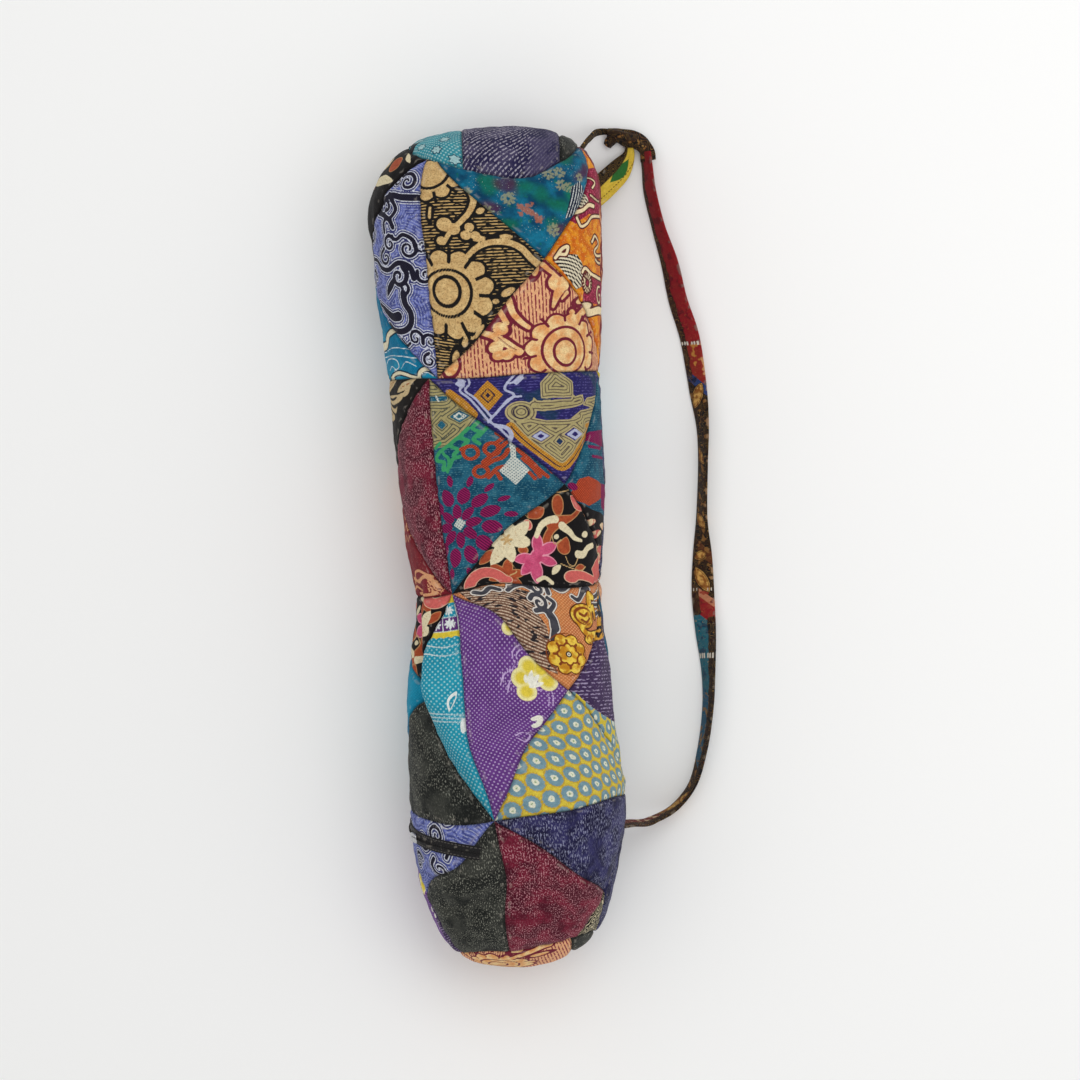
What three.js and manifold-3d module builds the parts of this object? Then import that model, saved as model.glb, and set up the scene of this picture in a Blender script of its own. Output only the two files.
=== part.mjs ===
// Patchwork yoga mat bag lying on its side on a flat surface, in millimetres, +Z up, +Y towards the
// lidded end. A soft hollow tube of sewn triangular patches is closed by two domed end panels, and
// carries a pocket zip, a closing zip under the lid, a fabric loop and a shoulder strap knotted to it.
import * as THREE from 'three';
import { mergeVertices } from 'three/addons/utils/BufferGeometryUtils.js';
import Module from 'manifold-3d';

const wasm = await Module();
wasm.setup();

// Driving sizes of the stuffed bag and of its cloth.
const BAG = { length: 681, width: 187, height: 141 };
const CLOTH = { wall: 2, gap: 0.3 };
const COLUMNS = 3;
const STEPS = { patch: 7, small: 4, panelRings: 3 };

// The domed ends: how deep the rounding runs in from each tip, and how square its corners are.
const TOP_END = { depth: 70, square: 0.035 };
const BOTTOM_END = { depth: 116, square: 0.026 };

// Cross-section: height of its widest line as a share of the crown, how far the cloth would sag
// below the floor before it lies flat, and how square its corners are.
const SECTION = { belt: 0.47, sag: 1.07, square: 0.045 };

// Outline seen from above. along is a share of the length from the middle, left and right are shares
// of the width, crown is a share of the height.
const OUTLINE = [
  { along: -0.5, left: -0.5, right: 0.5, crown: 0.9 },
  { along: -0.45, left: -0.435, right: 0.46, crown: 0.93 },
  { along: -0.4, left: -0.43, right: 0.456, crown: 0.96 },
  { along: -0.33, left: -0.437, right: 0.486, crown: 0.98 },
  { along: -0.29, left: -0.434, right: 0.497, crown: 0.97 },
  { along: -0.22, left: -0.434, right: 0.46, crown: 0.96 },
  { along: -0.13, left: -0.406, right: 0.452, crown: 0.95 },
  { along: -0.07, left: -0.368, right: 0.44, crown: 0.94 },
  { along: 0.02, left: -0.402, right: 0.454, crown: 0.95 },
  { along: 0.11, left: -0.43, right: 0.466, crown: 0.97 },
  { along: 0.18, left: -0.441, right: 0.46, crown: 0.97 },
  { along: 0.25, left: -0.46, right: 0.474, crown: 0.98 },
  { along: 0.33, left: -0.486, right: 0.494, crown: 1 },
  { along: 0.397, left: -0.5, right: 0.5, crown: 1 },
  { along: 0.5, left: -0.45, right: 0.55, crown: 0.96 },
];

// Creases (positive depth) and rolls (negative depth) of the cloth. Each runs between two points
// given by turn round the bag in degrees and share of the length; reach and depth are shares of the
// height.
const FOLDS = [
  { turn0: 160, along0: -0.06, turn1: 157, along1: -0.12, reach: 0.09, depth: 0.06 },
  { turn0: 157, along0: -0.12, turn1: 149, along1: -0.175, reach: 0.1, depth: 0.08 },
  { turn0: 149, along0: -0.175, turn1: 109, along1: -0.31, reach: 0.1, depth: 0.07 },
  { turn0: 143, along0: -0.07, turn1: 135, along1: -0.17, reach: 0.13, depth: -0.05 },
  { turn0: 135, along0: -0.17, turn1: 98, along1: -0.29, reach: 0.12, depth: -0.045 },
  { turn0: 84, along0: 0.4, turn1: 62, along1: 0.37, reach: 0.15, depth: 0.035 },
  { turn0: 153, along0: 0.41, turn1: 126, along1: 0.405, reach: 0.05, depth: 0.025 },
  { turn0: 4, along0: -0.1, turn1: 8, along1: -0.06, reach: 0.2, depth: 0.03 },
  { turn0: 136, along0: -0.44, turn1: 100, along1: -0.425, reach: 0.07, depth: 0.035 },
  { turn0: 95, along0: -0.415, turn1: 62, along1: -0.405, reach: 0.09, depth: 0.02 },
  { turn0: 95, along0: 0.1, turn1: 80, along1: 0.05, reach: 0.4, depth: 0.02 },
  { turn0: 30, along0: -0.22, turn1: 40, along1: -0.26, reach: 0.25, depth: 0.02 },
];

// Places where a fold drags the patches along the surface: by a turn in degrees and a share of the
// length, fading over reach, a share of the height.
const PULLS = [
  { turn: 128, along: 0.39, reach: 0.55, byTurn: -9, byAlong: 0 },
  { turn: 118, along: -0.17, reach: 0.35, byTurn: -3, byAlong: 0 },
  { turn: 84, along: -0.21, reach: 0.4, byTurn: 5, byAlong: 0 },
  { turn: 97, along: -0.1, reach: 0.27, byTurn: 0, byAlong: 0.016 },
  { turn: 91, along: 0.02, reach: 0.25, byTurn: 0, byAlong: 0.013 },
  { turn: 84, along: -0.255, reach: 0.22, byTurn: 0, byAlong: 0.013 },
  { turn: 101, along: 0.252, reach: 0.2, byTurn: 0, byAlong: -0.01 },
  { turn: 98, along: -0.085, reach: 0.2, byTurn: -3, byAlong: 0.005 },
  { turn: 40, along: -0.315, reach: 0.3, byTurn: 0, byAlong: 0.009 },
  { turn: 55, along: -0.385, reach: 0.25, byTurn: 0, byAlong: -0.013 },
  { turn: 121, along: -0.372, reach: 0.22, byTurn: -5, byAlong: -0.022 },
  { turn: 128, along: 0.24, reach: 0.35, byTurn: -3, byAlong: 0 },
  { turn: 93, along: -0.4, reach: 0.2, byTurn: -3, byAlong: 0 },
];

// Rings where a row of blocks meets the next. along is the share of the length at the front seam, and
// rise is how much nearer the lid the ring runs on the other side.
const RINGS = [
  { along: 0.204, rise: 0 },
  { along: -0.057, rise: 0.012 },
  { along: -0.322, rise: 0.034 },
];

// Each row of blocks: the turn of its front seam at its upper and lower ring.
const ROWS = [
  { upper: 131, lower: 121 },
  { upper: 126.5, lower: 124 },
  { upper: 124, lower: 101 },
  { upper: 101, lower: 98 },
];

// Each block: where its four triangles meet, and from where to where its upper and its lower
// triangle's outer edges run, all as shares across and down the block. The first and last row are cut
// by the end panels.
const BLOCKS = [
  { row: 0, column: 0, across: 0.502, down: 0.5, topFrom: 0.07, topTo: 1, lowFrom: 0, lowTo: 1 },
  { row: 0, column: 1, across: 0.5, down: 0.5, topFrom: 0, topTo: 1, lowFrom: 0, lowTo: 1 },
  { row: 0, column: 2, across: 0.45, down: 0.54, topFrom: 0, topTo: 1, lowFrom: 0, lowTo: 1 },
  { row: 1, column: 0, across: 0.575, down: 0.52, topFrom: 0, topTo: 1, lowFrom: 0, lowTo: 1 },
  { row: 1, column: 1, across: 0.5, down: 0.5, topFrom: 0, topTo: 1, lowFrom: 0, lowTo: 1 },
  { row: 1, column: 2, across: 0.46, down: 0.49, topFrom: 0, topTo: 1, lowFrom: 0, lowTo: 1 },
  { row: 2, column: 0, across: 0.47, down: 0.455, topFrom: 0, topTo: 1, lowFrom: 0, lowTo: 1 },
  { row: 2, column: 1, across: 0.5, down: 0.5, topFrom: 0, topTo: 1, lowFrom: 0, lowTo: 1 },
  { row: 2, column: 2, across: 0.68, down: 0.42, topFrom: 0, topTo: 1, lowFrom: 0, lowTo: 1 },
  { row: 3, column: 0, across: 0.61, down: 0.6, topFrom: 0, topTo: 1, lowFrom: 0.46, lowTo: 0.76 },
  { row: 3, column: 1, across: 0.5, down: 0.52, topFrom: 0, topTo: 1, lowFrom: 0.35, lowTo: 0.65 },
  { row: 3, column: 2, across: 0.46, down: 0.46, topFrom: 0, topTo: 1, lowFrom: 0.34, lowTo: 0.5 },
];

// Where the end panels are sewn on, by turn: share of the length from the middle, along the cloth.
const TOP_SEAM = [
  { turn: 16, along: 0.485 },
  { turn: 52, along: 0.459 },
  { turn: 76, along: 0.438 },
  { turn: 104, along: 0.452 },
  { turn: 131, along: 0.475 },
  { turn: 180, along: 0.499 },
  { turn: 230, along: 0.49 },
  { turn: 310, along: 0.488 },
];
const BOTTOM_SEAM = [
  { turn: 10, along: -0.487 },
  { turn: 43, along: -0.497 },
  { turn: 90, along: -0.525 },
  { turn: 180, along: -0.525 },
  { turn: 270, along: -0.515 },
];
// How quickly the dip of the upper end's seam fades down the first row, and the level it fades to.
const DIP_FADE = 4;
const TOP_SEAM_LEVEL = 0.478;
// Cuts between the strips of each end panel, as shares of the width from the middle.
const TOP_CUTS = [-0.085, 0.34];
const BOTTOM_CUTS = [0.235];

// Zips. A zip runs between two points of the bag, and its coil stands on its tape.
const ZIP = { tape: 11, thick: 1.2, coil: 3.6, coilRise: 1.3, steps: 14 };
const POCKET_ZIP = { turn0: 108, along0: -0.362, turn1: 214, along1: -0.314 };
const CLOSING_ZIP = { turn0: 196, turn1: 318 };
const SLIDER = { length: 12, width: 7.5, high: 3.2, at: 0.46 };

// Shoulder strap: a flat cloth tube. across and along are shares of the bag's width and length, roll
// tips it on its edge in degrees, and lift, a share of the height, is how far it is held up.
const STRAP = { width: 22, thick: 3.6, clear: 1, sides: 8, steps: 52 };
const STRAP_ROUTE = [
  { across: 0.4, along: -0.34, roll: 76, lift: 0.42 },
  { across: 0.5, along: -0.337, roll: 75, lift: 0.27 },
  { across: 0.6, along: -0.335, roll: 74, lift: 0.08 },
  { across: 0.708, along: -0.321, roll: 73, lift: 0 },
  { across: 0.79, along: -0.295, roll: 72, lift: 0 },
  { across: 0.841, along: -0.253, roll: 67, lift: 0 },
  { across: 0.875, along: -0.2, roll: 63, lift: 0 },
  { across: 0.883, along: -0.154, roll: 53, lift: 0 },
  { across: 0.879, along: -0.11, roll: 29, lift: 0 },
  { across: 0.875, along: -0.066, roll: 17, lift: 0 },
  { across: 0.88, along: -0.022, roll: 36, lift: 0 },
  { across: 0.884, along: 0.022, roll: 63, lift: 0 },
  { across: 0.9, along: 0.088, roll: 68, lift: 0 },
  { across: 0.906, along: 0.132, roll: 60, lift: 0 },
  { across: 0.894, along: 0.176, roll: 42, lift: 0 },
  { across: 0.866, along: 0.242, roll: 34, lift: 0 },
  { across: 0.823, along: 0.286, roll: 38, lift: 0 },
  { across: 0.795, along: 0.33, roll: 44, lift: 0 },
  { across: 0.753, along: 0.374, roll: 57, lift: 0 },
  { across: 0.722, along: 0.418, roll: 59, lift: 0 },
  { across: 0.716, along: 0.446, roll: 64, lift: 0 },
  { across: 0.71, along: 0.465, roll: 64, lift: 0 },
];

// The knot: the strap's gathered end, wrapped over the loop. broad and deep are shares of the
// strap's width.
const KNOT = { sides: 10, steps: 12 };
const KNOT_WRAP = [
  { across: 0.55, along: 0.489, broad: 0.42, deep: 0.42 },
  { across: 0.588, along: 0.487, broad: 0.5, deep: 0.5 },
  { across: 0.636, along: 0.482, broad: 0.62, deep: 0.55 },
  { across: 0.688, along: 0.475, broad: 0.58, deep: 0.55 },
  { across: 0.716, along: 0.465, broad: 0.54, deep: 0.52 },
  { across: 0.722, along: 0.454, broad: 0.52, deep: 0.5 },
];
const KNOT_TAIL = [
  { across: 0.59, along: 0.484, broad: 0.34, deep: 0.34 },
  { across: 0.56, along: 0.479, broad: 0.38, deep: 0.36 },
  { across: 0.546, along: 0.474, broad: 0.3, deep: 0.28 },
];

// The fabric loop sewn to the lidded end's side. It runs through the knot.
const LOOP = { thick: 3, sides: 8, steps: 36 };
const LOOP_ROUTE = [
  { across: 0.4, along: 0.402, broad: 1, roll: -14, lift: 0.2 },
  { across: 0.47, along: 0.414, broad: 1, roll: -14, lift: 0.16 },
  { across: 0.54, along: 0.43, broad: 0.98, roll: -10, lift: 0.1 },
  { across: 0.6, along: 0.446, broad: 0.85, roll: -6, lift: 0.05 },
  { across: 0.64, along: 0.464, broad: 0.42, roll: 0, lift: 0.025 },
  { across: 0.638, along: 0.476, broad: 0.27, roll: 0, lift: 0.025 },
  { across: 0.6, along: 0.486, broad: 0.24, roll: 10, lift: 0.025 },
  { across: 0.55, along: 0.491, broad: 0.24, roll: 40, lift: 0.02 },
  { across: 0.505, along: 0.4905, broad: 0.4, roll: 62, lift: 0.03 },
  { across: 0.468, along: 0.483, broad: 0.5, roll: 78, lift: 0.1 },
  { across: 0.425, along: 0.469, broad: 0.5, roll: 80, lift: 0.2 },
  { across: 0.36, along: 0.45, broad: 0.5, roll: 80, lift: 0.3 },
];

const lerp = (a, b, t) => a + (b - a) * t;
const radians = THREE.MathUtils.degToRad;
const girthRadius = (BAG.width + BAG.height) / 4;

// Value of a table's column at a place along its key, on a smooth curve through the rows. A period
// joins the last row to the first.
function through(table, key, column, at, period = 0) {
  const rows = period
    ? [-1, 0, 1].flatMap((lap) => table.map((row) => ({ ...row, [key]: row[key] + lap * period })))
    : table;
  const last = rows.length - 1;
  const x = THREE.MathUtils.clamp(at, rows[0][key], rows[last][key]);
  let i = 0;
  while (i < last - 1 && rows[i + 1][key] <= x) i++;
  const slope = (k) => {
    const before = rows[Math.max(k - 1, 0)];
    const after = rows[Math.min(k + 1, last)];
    return (after[column] - before[column]) / (after[key] - before[key]);
  };
  const span = rows[i + 1][key] - rows[i][key];
  const t = (x - rows[i][key]) / span;
  return (
    rows[i][column] * (2 * t ** 3 - 3 * t ** 2 + 1) +
    rows[i + 1][column] * (3 * t ** 2 - 2 * t ** 3) +
    span * (slope(i) * (t ** 3 - 2 * t ** 2 + t) + slope(i + 1) * (t ** 3 - t ** 2))
  );
}

const lap = (turn) => ((turn % 360) + 360) % 360;

// Along the cloth from the middle, in millimetres: past the straight part it runs over the domed end.
// Returns where that is along Y and how wide the section is there as a share.
function meridian(cloth) {
  const end = cloth > 0 ? TOP_END : BOTTOM_END;
  const start = BAG.length / 2 - end.depth;
  const past = Math.abs(cloth) - start;
  if (past <= 0) return { y: cloth, swell: 1 };
  const pace = (end.depth * (1 + 3 * end.square)) / (1 - end.square);
  const bend = Math.min(past / pace, Math.PI / 2);
  const reach = (Math.sin(bend) + end.square * Math.sin(3 * bend)) / (1 - end.square);
  const swell = (Math.cos(bend) - end.square * Math.cos(3 * bend)) / (1 - end.square);
  return { y: Math.sign(cloth) * (start + end.depth * reach), swell };
}

// How far along the cloth an end's tip is.
function tipOf(end) {
  const pace = (end.depth * (1 + 3 * end.square)) / (1 - end.square);
  return BAG.length / 2 - end.depth + (pace * Math.PI) / 2;
}

// The stuffed shape with no folds, at a turn in degrees and a distance along the cloth.
function plainShape(turn, cloth) {
  const { y, swell } = meridian(cloth);
  const at = y / BAG.length;
  const left = through(OUTLINE, 'along', 'left', at) * BAG.width;
  const right = through(OUTLINE, 'along', 'right', at) * BAG.width;
  const crown = through(OUTLINE, 'along', 'crown', at) * BAG.height;
  const belt = SECTION.belt * crown;
  const angle = radians(turn);
  const side = (Math.cos(angle) - SECTION.square * Math.cos(3 * angle)) / (1 - SECTION.square);
  const up = (Math.sin(angle) + SECTION.square * Math.sin(3 * angle)) / (1 - SECTION.square);
  const half = up > 0 ? crown - belt : belt * SECTION.sag;
  return new THREE.Vector3((left + right) / 2 + ((right - left) / 2) * swell * side, y, belt + half * swell * up);
}

// Distance on the cloth from a point to the line between two others, each a turn and a share along.
function offLine(turn, cloth, turn0, along0, turn1, along1) {
  const flat = (t, c) => new THREE.Vector2(radians(t - turn0) * girthRadius, c);
  const away = lap(turn - turn0 + 180) - 180 + turn0;
  const point = flat(away, cloth);
  const from = flat(turn0, along0 * BAG.length);
  const line = flat(turn1, along1 * BAG.length).sub(from);
  const t = THREE.MathUtils.clamp(point.clone().sub(from).dot(line) / Math.max(line.lengthSq(), 1e-9), 0, 1);
  return point.distanceTo(from.addScaledVector(line, t));
}

function outwardFrom(shape, turn, cloth) {
  const step = 0.4;
  const round = shape(turn + step, cloth).sub(shape(turn - step, cloth));
  const ahead = shape(turn, cloth + step).sub(shape(turn, cloth - step));
  return ahead.cross(round).normalize();
}

// The bag's outer surface with its folds, flat where it rests on the floor.
function bagSurface(turn, cloth) {
  const point = plainShape(turn, cloth);
  let depth = 0;
  for (const f of FOLDS) {
    const off = offLine(turn, cloth, f.turn0, f.along0, f.turn1, f.along1);
    depth += f.depth * BAG.height * Math.exp(-((off / (f.reach * BAG.height)) ** 2));
  }
  if (Math.abs(depth) > 1e-3) point.addScaledVector(outwardFrom(plainShape, turn, cloth), -depth);
  point.z = Math.max(point.z, 0);
  return point;
}

// The outer surface, lifted off along the outward direction of the shape without folds.
function lifted(turn, cloth, lift) {
  return bagSurface(turn, cloth).addScaledVector(outwardFrom(plainShape, turn, cloth), lift);
}

// Drags a point of the sewn pattern the way the folds drag the cloth.
function pulled(turn, cloth) {
  let [t, c] = [turn, cloth];
  for (const p of PULLS) {
    const off = offLine(turn, cloth, p.turn, p.along, p.turn, p.along);
    const share = Math.exp(-((off / (p.reach * BAG.height)) ** 2));
    t += p.byTurn * share;
    c += p.byAlong * BAG.length * share;
  }
  return [t, c];
}

const topSeam = (turn) => through(TOP_SEAM, 'turn', 'along', lap(turn), 360) * BAG.length;
const bottomSeam = (turn) => through(BOTTOM_SEAM, 'turn', 'along', lap(turn), 360) * BAG.length;

// Distance along the cloth of the ring above a row, which is a panel's seam at the two ends.
function ringAt(row, turn) {
  if (row === 0) return topSeam(turn);
  if (row === ROWS.length) return bottomSeam(turn);
  const ring = RINGS[row - 1];
  const away = (1 - Math.cos(radians(turn - ROWS[row].upper))) / 2;
  return (ring.along + ring.rise * away) * BAG.length;
}

// Distance along the cloth at a share down a row. The upper end's seam dips only near itself.
function downRow(row, turn, down) {
  const [upper, lower] = [ringAt(row, turn), ringAt(row + 1, turn)];
  if (row > 0) return lerp(upper, lower, down);
  const level = TOP_SEAM_LEVEL * BAG.length;
  return lerp(level, lower, down) + (upper - level) * (1 - down) ** DIP_FADE;
}

// Place on the bag of a point in a row, by blocks across from the front seam and share down the row.
function inRow(row, across, down) {
  const turn = lerp(ROWS[row].upper, ROWS[row].lower, down) - (360 / COLUMNS) * across;
  return pulled(turn, downRow(row, turn, down));
}

// Moves each edge of a polygon inwards, so that neighbouring pieces keep a gap.
function inset(corners, distance) {
  const count = corners.length;
  const area = corners.reduce((sum, p, i) => sum + p.cross(corners[(i + 1) % count]), 0);
  const edges = corners.map((p, i) => {
    const along = corners[(i + 1) % count].clone().sub(p).normalize();
    const inward = new THREE.Vector2(-along.y, along.x).multiplyScalar(Math.sign(area) * distance);
    return { from: p.clone().add(inward), along };
  });
  return edges.map((edge, i) => {
    const before = edges[(i + count - 1) % count];
    const t = edge.from.clone().sub(before.from).cross(edge.along) / before.along.cross(edge.along);
    return before.from.clone().addScaledVector(before.along, t);
  });
}

// Splits a triangle of 2D points into steps by steps smaller ones, added to a flat pattern.
function addTriangle(pattern, [a, b, c], steps) {
  const at = (i, j) =>
    a.clone().addScaledVector(b.clone().sub(a), i / steps).addScaledVector(c.clone().sub(a), j / steps);
  for (let i = 0; i < steps; i++) {
    for (let j = 0; j < steps - i; j++) {
      pattern.push([at(i, j), at(i + 1, j), at(i, j + 1)]);
      if (j < steps - i - 1) pattern.push([at(i + 1, j), at(i + 1, j + 1), at(i, j + 1)]);
    }
  }
}

// Splits a sheet given by across and down from 0 to 1 into a grid of triangles.
function gridPattern(across, down, place) {
  const pattern = [];
  for (let i = 0; i < across; i++) {
    for (let j = 0; j < down; j++) {
      const [p, q] = [place(i / across, j / down), place((i + 1) / across, j / down)];
      const [r, s] = [place(i / across, (j + 1) / down), place((i + 1) / across, (j + 1) / down)];
      pattern.push([p, q, r], [q, s, r]);
    }
  }
  return pattern;
}

// A closed wall over a flat pattern: each 2D point is placed at its outer and inner lift, and the
// pattern's open edges are walled in.
function closedWall(pattern, place) {
  const keyOf = (p) => `${p.x.toFixed(5)},${p.y.toFixed(5)}`;
  const index = new Map();
  const points = [];
  const faces = [];
  for (const triangle of pattern) {
    const ids = triangle.map((p) => {
      const key = keyOf(p);
      if (!index.has(key)) {
        index.set(key, points.length);
        points.push(p);
      }
      return index.get(key);
    });
    if (new Set(ids).size === 3) faces.push(ids);
  }
  const pairs = points.map(place);
  const count = points.length;
  const position = [...pairs.map((p) => p.outer), ...pairs.map((p) => p.inner)].flatMap((v) => v.toArray());
  const edges = new Set(faces.flatMap(([a, b, c]) => [`${a},${b}`, `${b},${c}`, `${c},${a}`]));
  const triangles = faces.flatMap(([a, b, c]) => [a, b, c, count + a, count + c, count + b]);
  for (const edge of edges) {
    const [a, b] = edge.split(',').map(Number);
    if (!edges.has(`${b},${a}`)) triangles.push(b, a, count + b, a, count + a, count + b);
  }
  return faceOut(position, triangles);
}

// Geometry from points and triangles, turned so that its faces point out.
function faceOut(position, triangles) {
  const [a, b, c] = [0, 0, 0].map(() => new THREE.Vector3());
  let volume = 0;
  for (let i = 0; i < triangles.length; i += 3) {
    [a, b, c].forEach((v, k) => v.fromArray(position, triangles[i + k] * 3));
    volume += a.dot(b.cross(c));
  }
  const order = volume < 0 ? triangles.map((_, i) => triangles[i + [0, 1, -1][i % 3]]) : triangles;
  return new THREE.BufferGeometry()
    .setAttribute('position', new THREE.Float32BufferAttribute(position, 3))
    .setIndex(order);
}

function solidOf(geometry) {
  const bare = geometry.clone();
  bare.deleteAttribute('normal');
  bare.deleteAttribute('uv');
  const merged = mergeVertices(bare, 1e-4);
  return new wasm.Manifold(
    new wasm.Mesh({
      numProp: 3,
      vertProperties: merged.attributes.position.array,
      triVerts: new Uint32Array(merged.index.array),
    }),
  );
}

function geometryOf(solid) {
  const { vertProperties, triVerts } = solid.getMesh();
  return new THREE.BufferGeometry()
    .setAttribute('position', new THREE.Float32BufferAttribute(vertProperties, 3))
    .setIndex([...triVerts]);
}

const blockAt = (row, column) => BLOCKS.find((block) => block.row === row && block.column === column);

// Corners of one patch of a block, across and down its row, going round it.
function patchCorners(row, column, side) {
  const { across, down, topFrom, topTo, lowFrom, lowTo } = blockAt(row, column);
  const corners = {
    top: [[topFrom, 0], [topTo, 0], [across, down]],
    right: [[1, 1], [lowTo, 1], [across, down], [topTo, 0], [1, 0]],
    bottom: [[lowTo, 1], [lowFrom, 1], [across, down]],
    left: [[0, 0], [topFrom, 0], [across, down], [lowFrom, 1], [0, 1]],
  }[side];
  const apart = corners.filter((p, i) => {
    const next = corners[(i + 1) % corners.length];
    return Math.hypot(p[0] - next[0], p[1] - next[1]) > 1e-6;
  });
  return apart.map((p) => new THREE.Vector2(column + p[0], p[1]));
}

// One cloth patch as a curved wall between two lifts off the bag's surface.
function patchWall(row, column, side, outer, inner, gap) {
  const scale = new THREE.Vector2((2 * Math.PI * girthRadius) / COLUMNS, BAG.length / (ROWS.length - 0.3));
  const flat = patchCorners(row, column, side).map((p) => p.clone().multiply(scale));
  const corners = inset(flat, gap / 2).map((p) => p.divide(scale));
  const small = side === 'bottom' && row === ROWS.length - 1;
  const pattern = [];
  addTriangle(pattern, corners.slice(0, 3), small ? STEPS.small : STEPS.patch);
  if (corners.length > 3) addTriangle(pattern, [corners[2], corners[3], corners[0]], STEPS.patch);
  return closedWall(pattern, (p) => {
    const [turn, cloth] = inRow(row, p.x, p.y);
    return { outer: lifted(turn, cloth, outer), inner: lifted(turn, cloth, inner) };
  });
}

// Turns at which the patches beside an end panel have their corners, so that both edges match.
function seamTurns(row) {
  const front = row === 0 ? ROWS[row].upper : ROWS[row].lower;
  return [...Array(COLUMNS).keys()].flatMap((column) => {
    const { topFrom, topTo, lowFrom, lowTo } = blockAt(row, column);
    const [from, to] = row === 0 ? [topFrom, topTo] : [lowFrom, lowTo];
    const marks = [0, from, to, 1];
    return marks.slice(1).flatMap((mark, k) => {
      const steps = row > 0 && k === 1 ? STEPS.small : STEPS.patch;
      const count = mark > marks[k] ? steps : 0;
      return [...Array(count).keys()].map(
        (i) => front - (360 / COLUMNS) * (column + lerp(marks[k], mark, i / count)),
      );
    });
  });
}

// A domed end panel inside its seam, or its core when swollen by a negative gap.
function panelWall(end, outer, inner, gap) {
  const top = end === TOP_END;
  const seam = top ? topSeam : bottomSeam;
  const tip = tipOf(end) * (top ? 1 : -1);
  const turns = seamTurns(top ? 0 : ROWS.length - 1);
  const rim = 1 - gap / 2 / Math.abs(tip - seam(90));
  const spot = (i, ring) => {
    const angle = radians(turns[i % turns.length]);
    const reach = (rim * ring) / STEPS.panelRings;
    return new THREE.Vector2(reach * Math.cos(angle), reach * Math.sin(angle));
  };
  const pattern = turns.flatMap((_, i) =>
    [...Array(STEPS.panelRings).keys()].flatMap((ring) => {
      const [p, q, r, s] = [spot(i, ring), spot(i + 1, ring), spot(i, ring + 1), spot(i + 1, ring + 1)];
      return ring ? [[p, q, r], [q, s, r]] : [[p, s, r]];
    }),
  );
  return closedWall(pattern, (p) => {
    const angle = THREE.MathUtils.radToDeg(Math.atan2(p.y, p.x));
    const [turn, cloth] = pulled(angle, lerp(tip, seam(angle), p.length()));
    return { outer: lifted(turn, cloth, outer), inner: lifted(turn, cloth, inner) };
  });
}

// The strips that an end panel is sewn from, cut across it at shares of the bag's width.
function panelStrips(end, cuts) {
  const whole = solidOf(panelWall(end, 0, -CLOTH.wall, CLOTH.gap));
  const edges = [-1, ...cuts, 1].map((share) => share * BAG.width);
  return edges.slice(1).map((edge, k) =>
    geometryOf(
      whole
        .trimByPlane([1, 0, 0], edges[k] + CLOTH.gap / 2)
        .trimByPlane([-1, 0, 0], -edge + CLOTH.gap / 2),
    ),
  );
}

// A zip laid on the bag: tape with a raised coil. route gives turn and cloth from 0 to 1 along it. Its
// underside starts in the cloth, to be cut to the bag's own shape.
function zipOnBag(route) {
  const base = -CLOTH.wall / 2;
  const profile = [
    { off: -ZIP.tape / 2, rise: ZIP.thick },
    { off: -ZIP.coil / 2, rise: ZIP.thick },
    { off: -ZIP.coil / 4, rise: ZIP.thick + ZIP.coilRise },
    { off: ZIP.coil / 4, rise: ZIP.thick + ZIP.coilRise },
    { off: ZIP.coil / 2, rise: ZIP.thick },
    { off: ZIP.tape / 2, rise: ZIP.thick },
  ];
  const pattern = gridPattern(ZIP.steps, profile.length - 1, (s, t) => new THREE.Vector2(s, t));
  return closedWall(pattern, (p) => {
    const { off, rise } = profile[Math.round(p.y * (profile.length - 1))];
    const [turn, cloth] = route(p.x);
    return { outer: lifted(turn, cloth + off, CLOTH.gap + rise), inner: lifted(turn, cloth + off, base) };
  });
}

const pocketRoute = (s) => [
  lerp(POCKET_ZIP.turn0, POCKET_ZIP.turn1, s),
  lerp(POCKET_ZIP.along0, POCKET_ZIP.along1, s) * BAG.length,
];

function closingRoute(s) {
  const turn = lerp(CLOSING_ZIP.turn0, CLOSING_ZIP.turn1, s);
  return [turn, topSeam(turn)];
}

// The pocket zip's slider, a small wedge-ended block standing on the coil.
function zipSlider() {
  const [turn, cloth] = pocketRoute(SLIDER.at);
  const [half, wide] = [SLIDER.length / 2, SLIDER.width / 2];
  const outline = new THREE.Shape([
    new THREE.Vector2(-half, -wide * 0.6),
    new THREE.Vector2(-half * 0.4, -wide),
    new THREE.Vector2(half * 0.6, -wide),
    new THREE.Vector2(half, -wide * 0.5),
    new THREE.Vector2(half, wide * 0.5),
    new THREE.Vector2(half * 0.6, wide),
    new THREE.Vector2(-half * 0.4, wide),
    new THREE.Vector2(-half, wide * 0.6),
  ]);
  const block = new THREE.ExtrudeGeometry(outline, { depth: SLIDER.high, bevelEnabled: false });
  const out = outwardFrom(bagSurface, turn, cloth);
  const [ahead, behind] = [pocketRoute(SLIDER.at + 0.02), pocketRoute(SLIDER.at - 0.02)];
  const along = bagSurface(...ahead).sub(bagSurface(...behind));
  along.addScaledVector(out, -along.dot(out)).normalize();
  const foot = lifted(turn, cloth, 2 * CLOTH.gap + ZIP.thick + ZIP.coilRise);
  const place = new THREE.Matrix4().makeBasis(along, out.clone().cross(along), out).setPosition(foot);
  return block.applyMatrix4(place);
}

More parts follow.
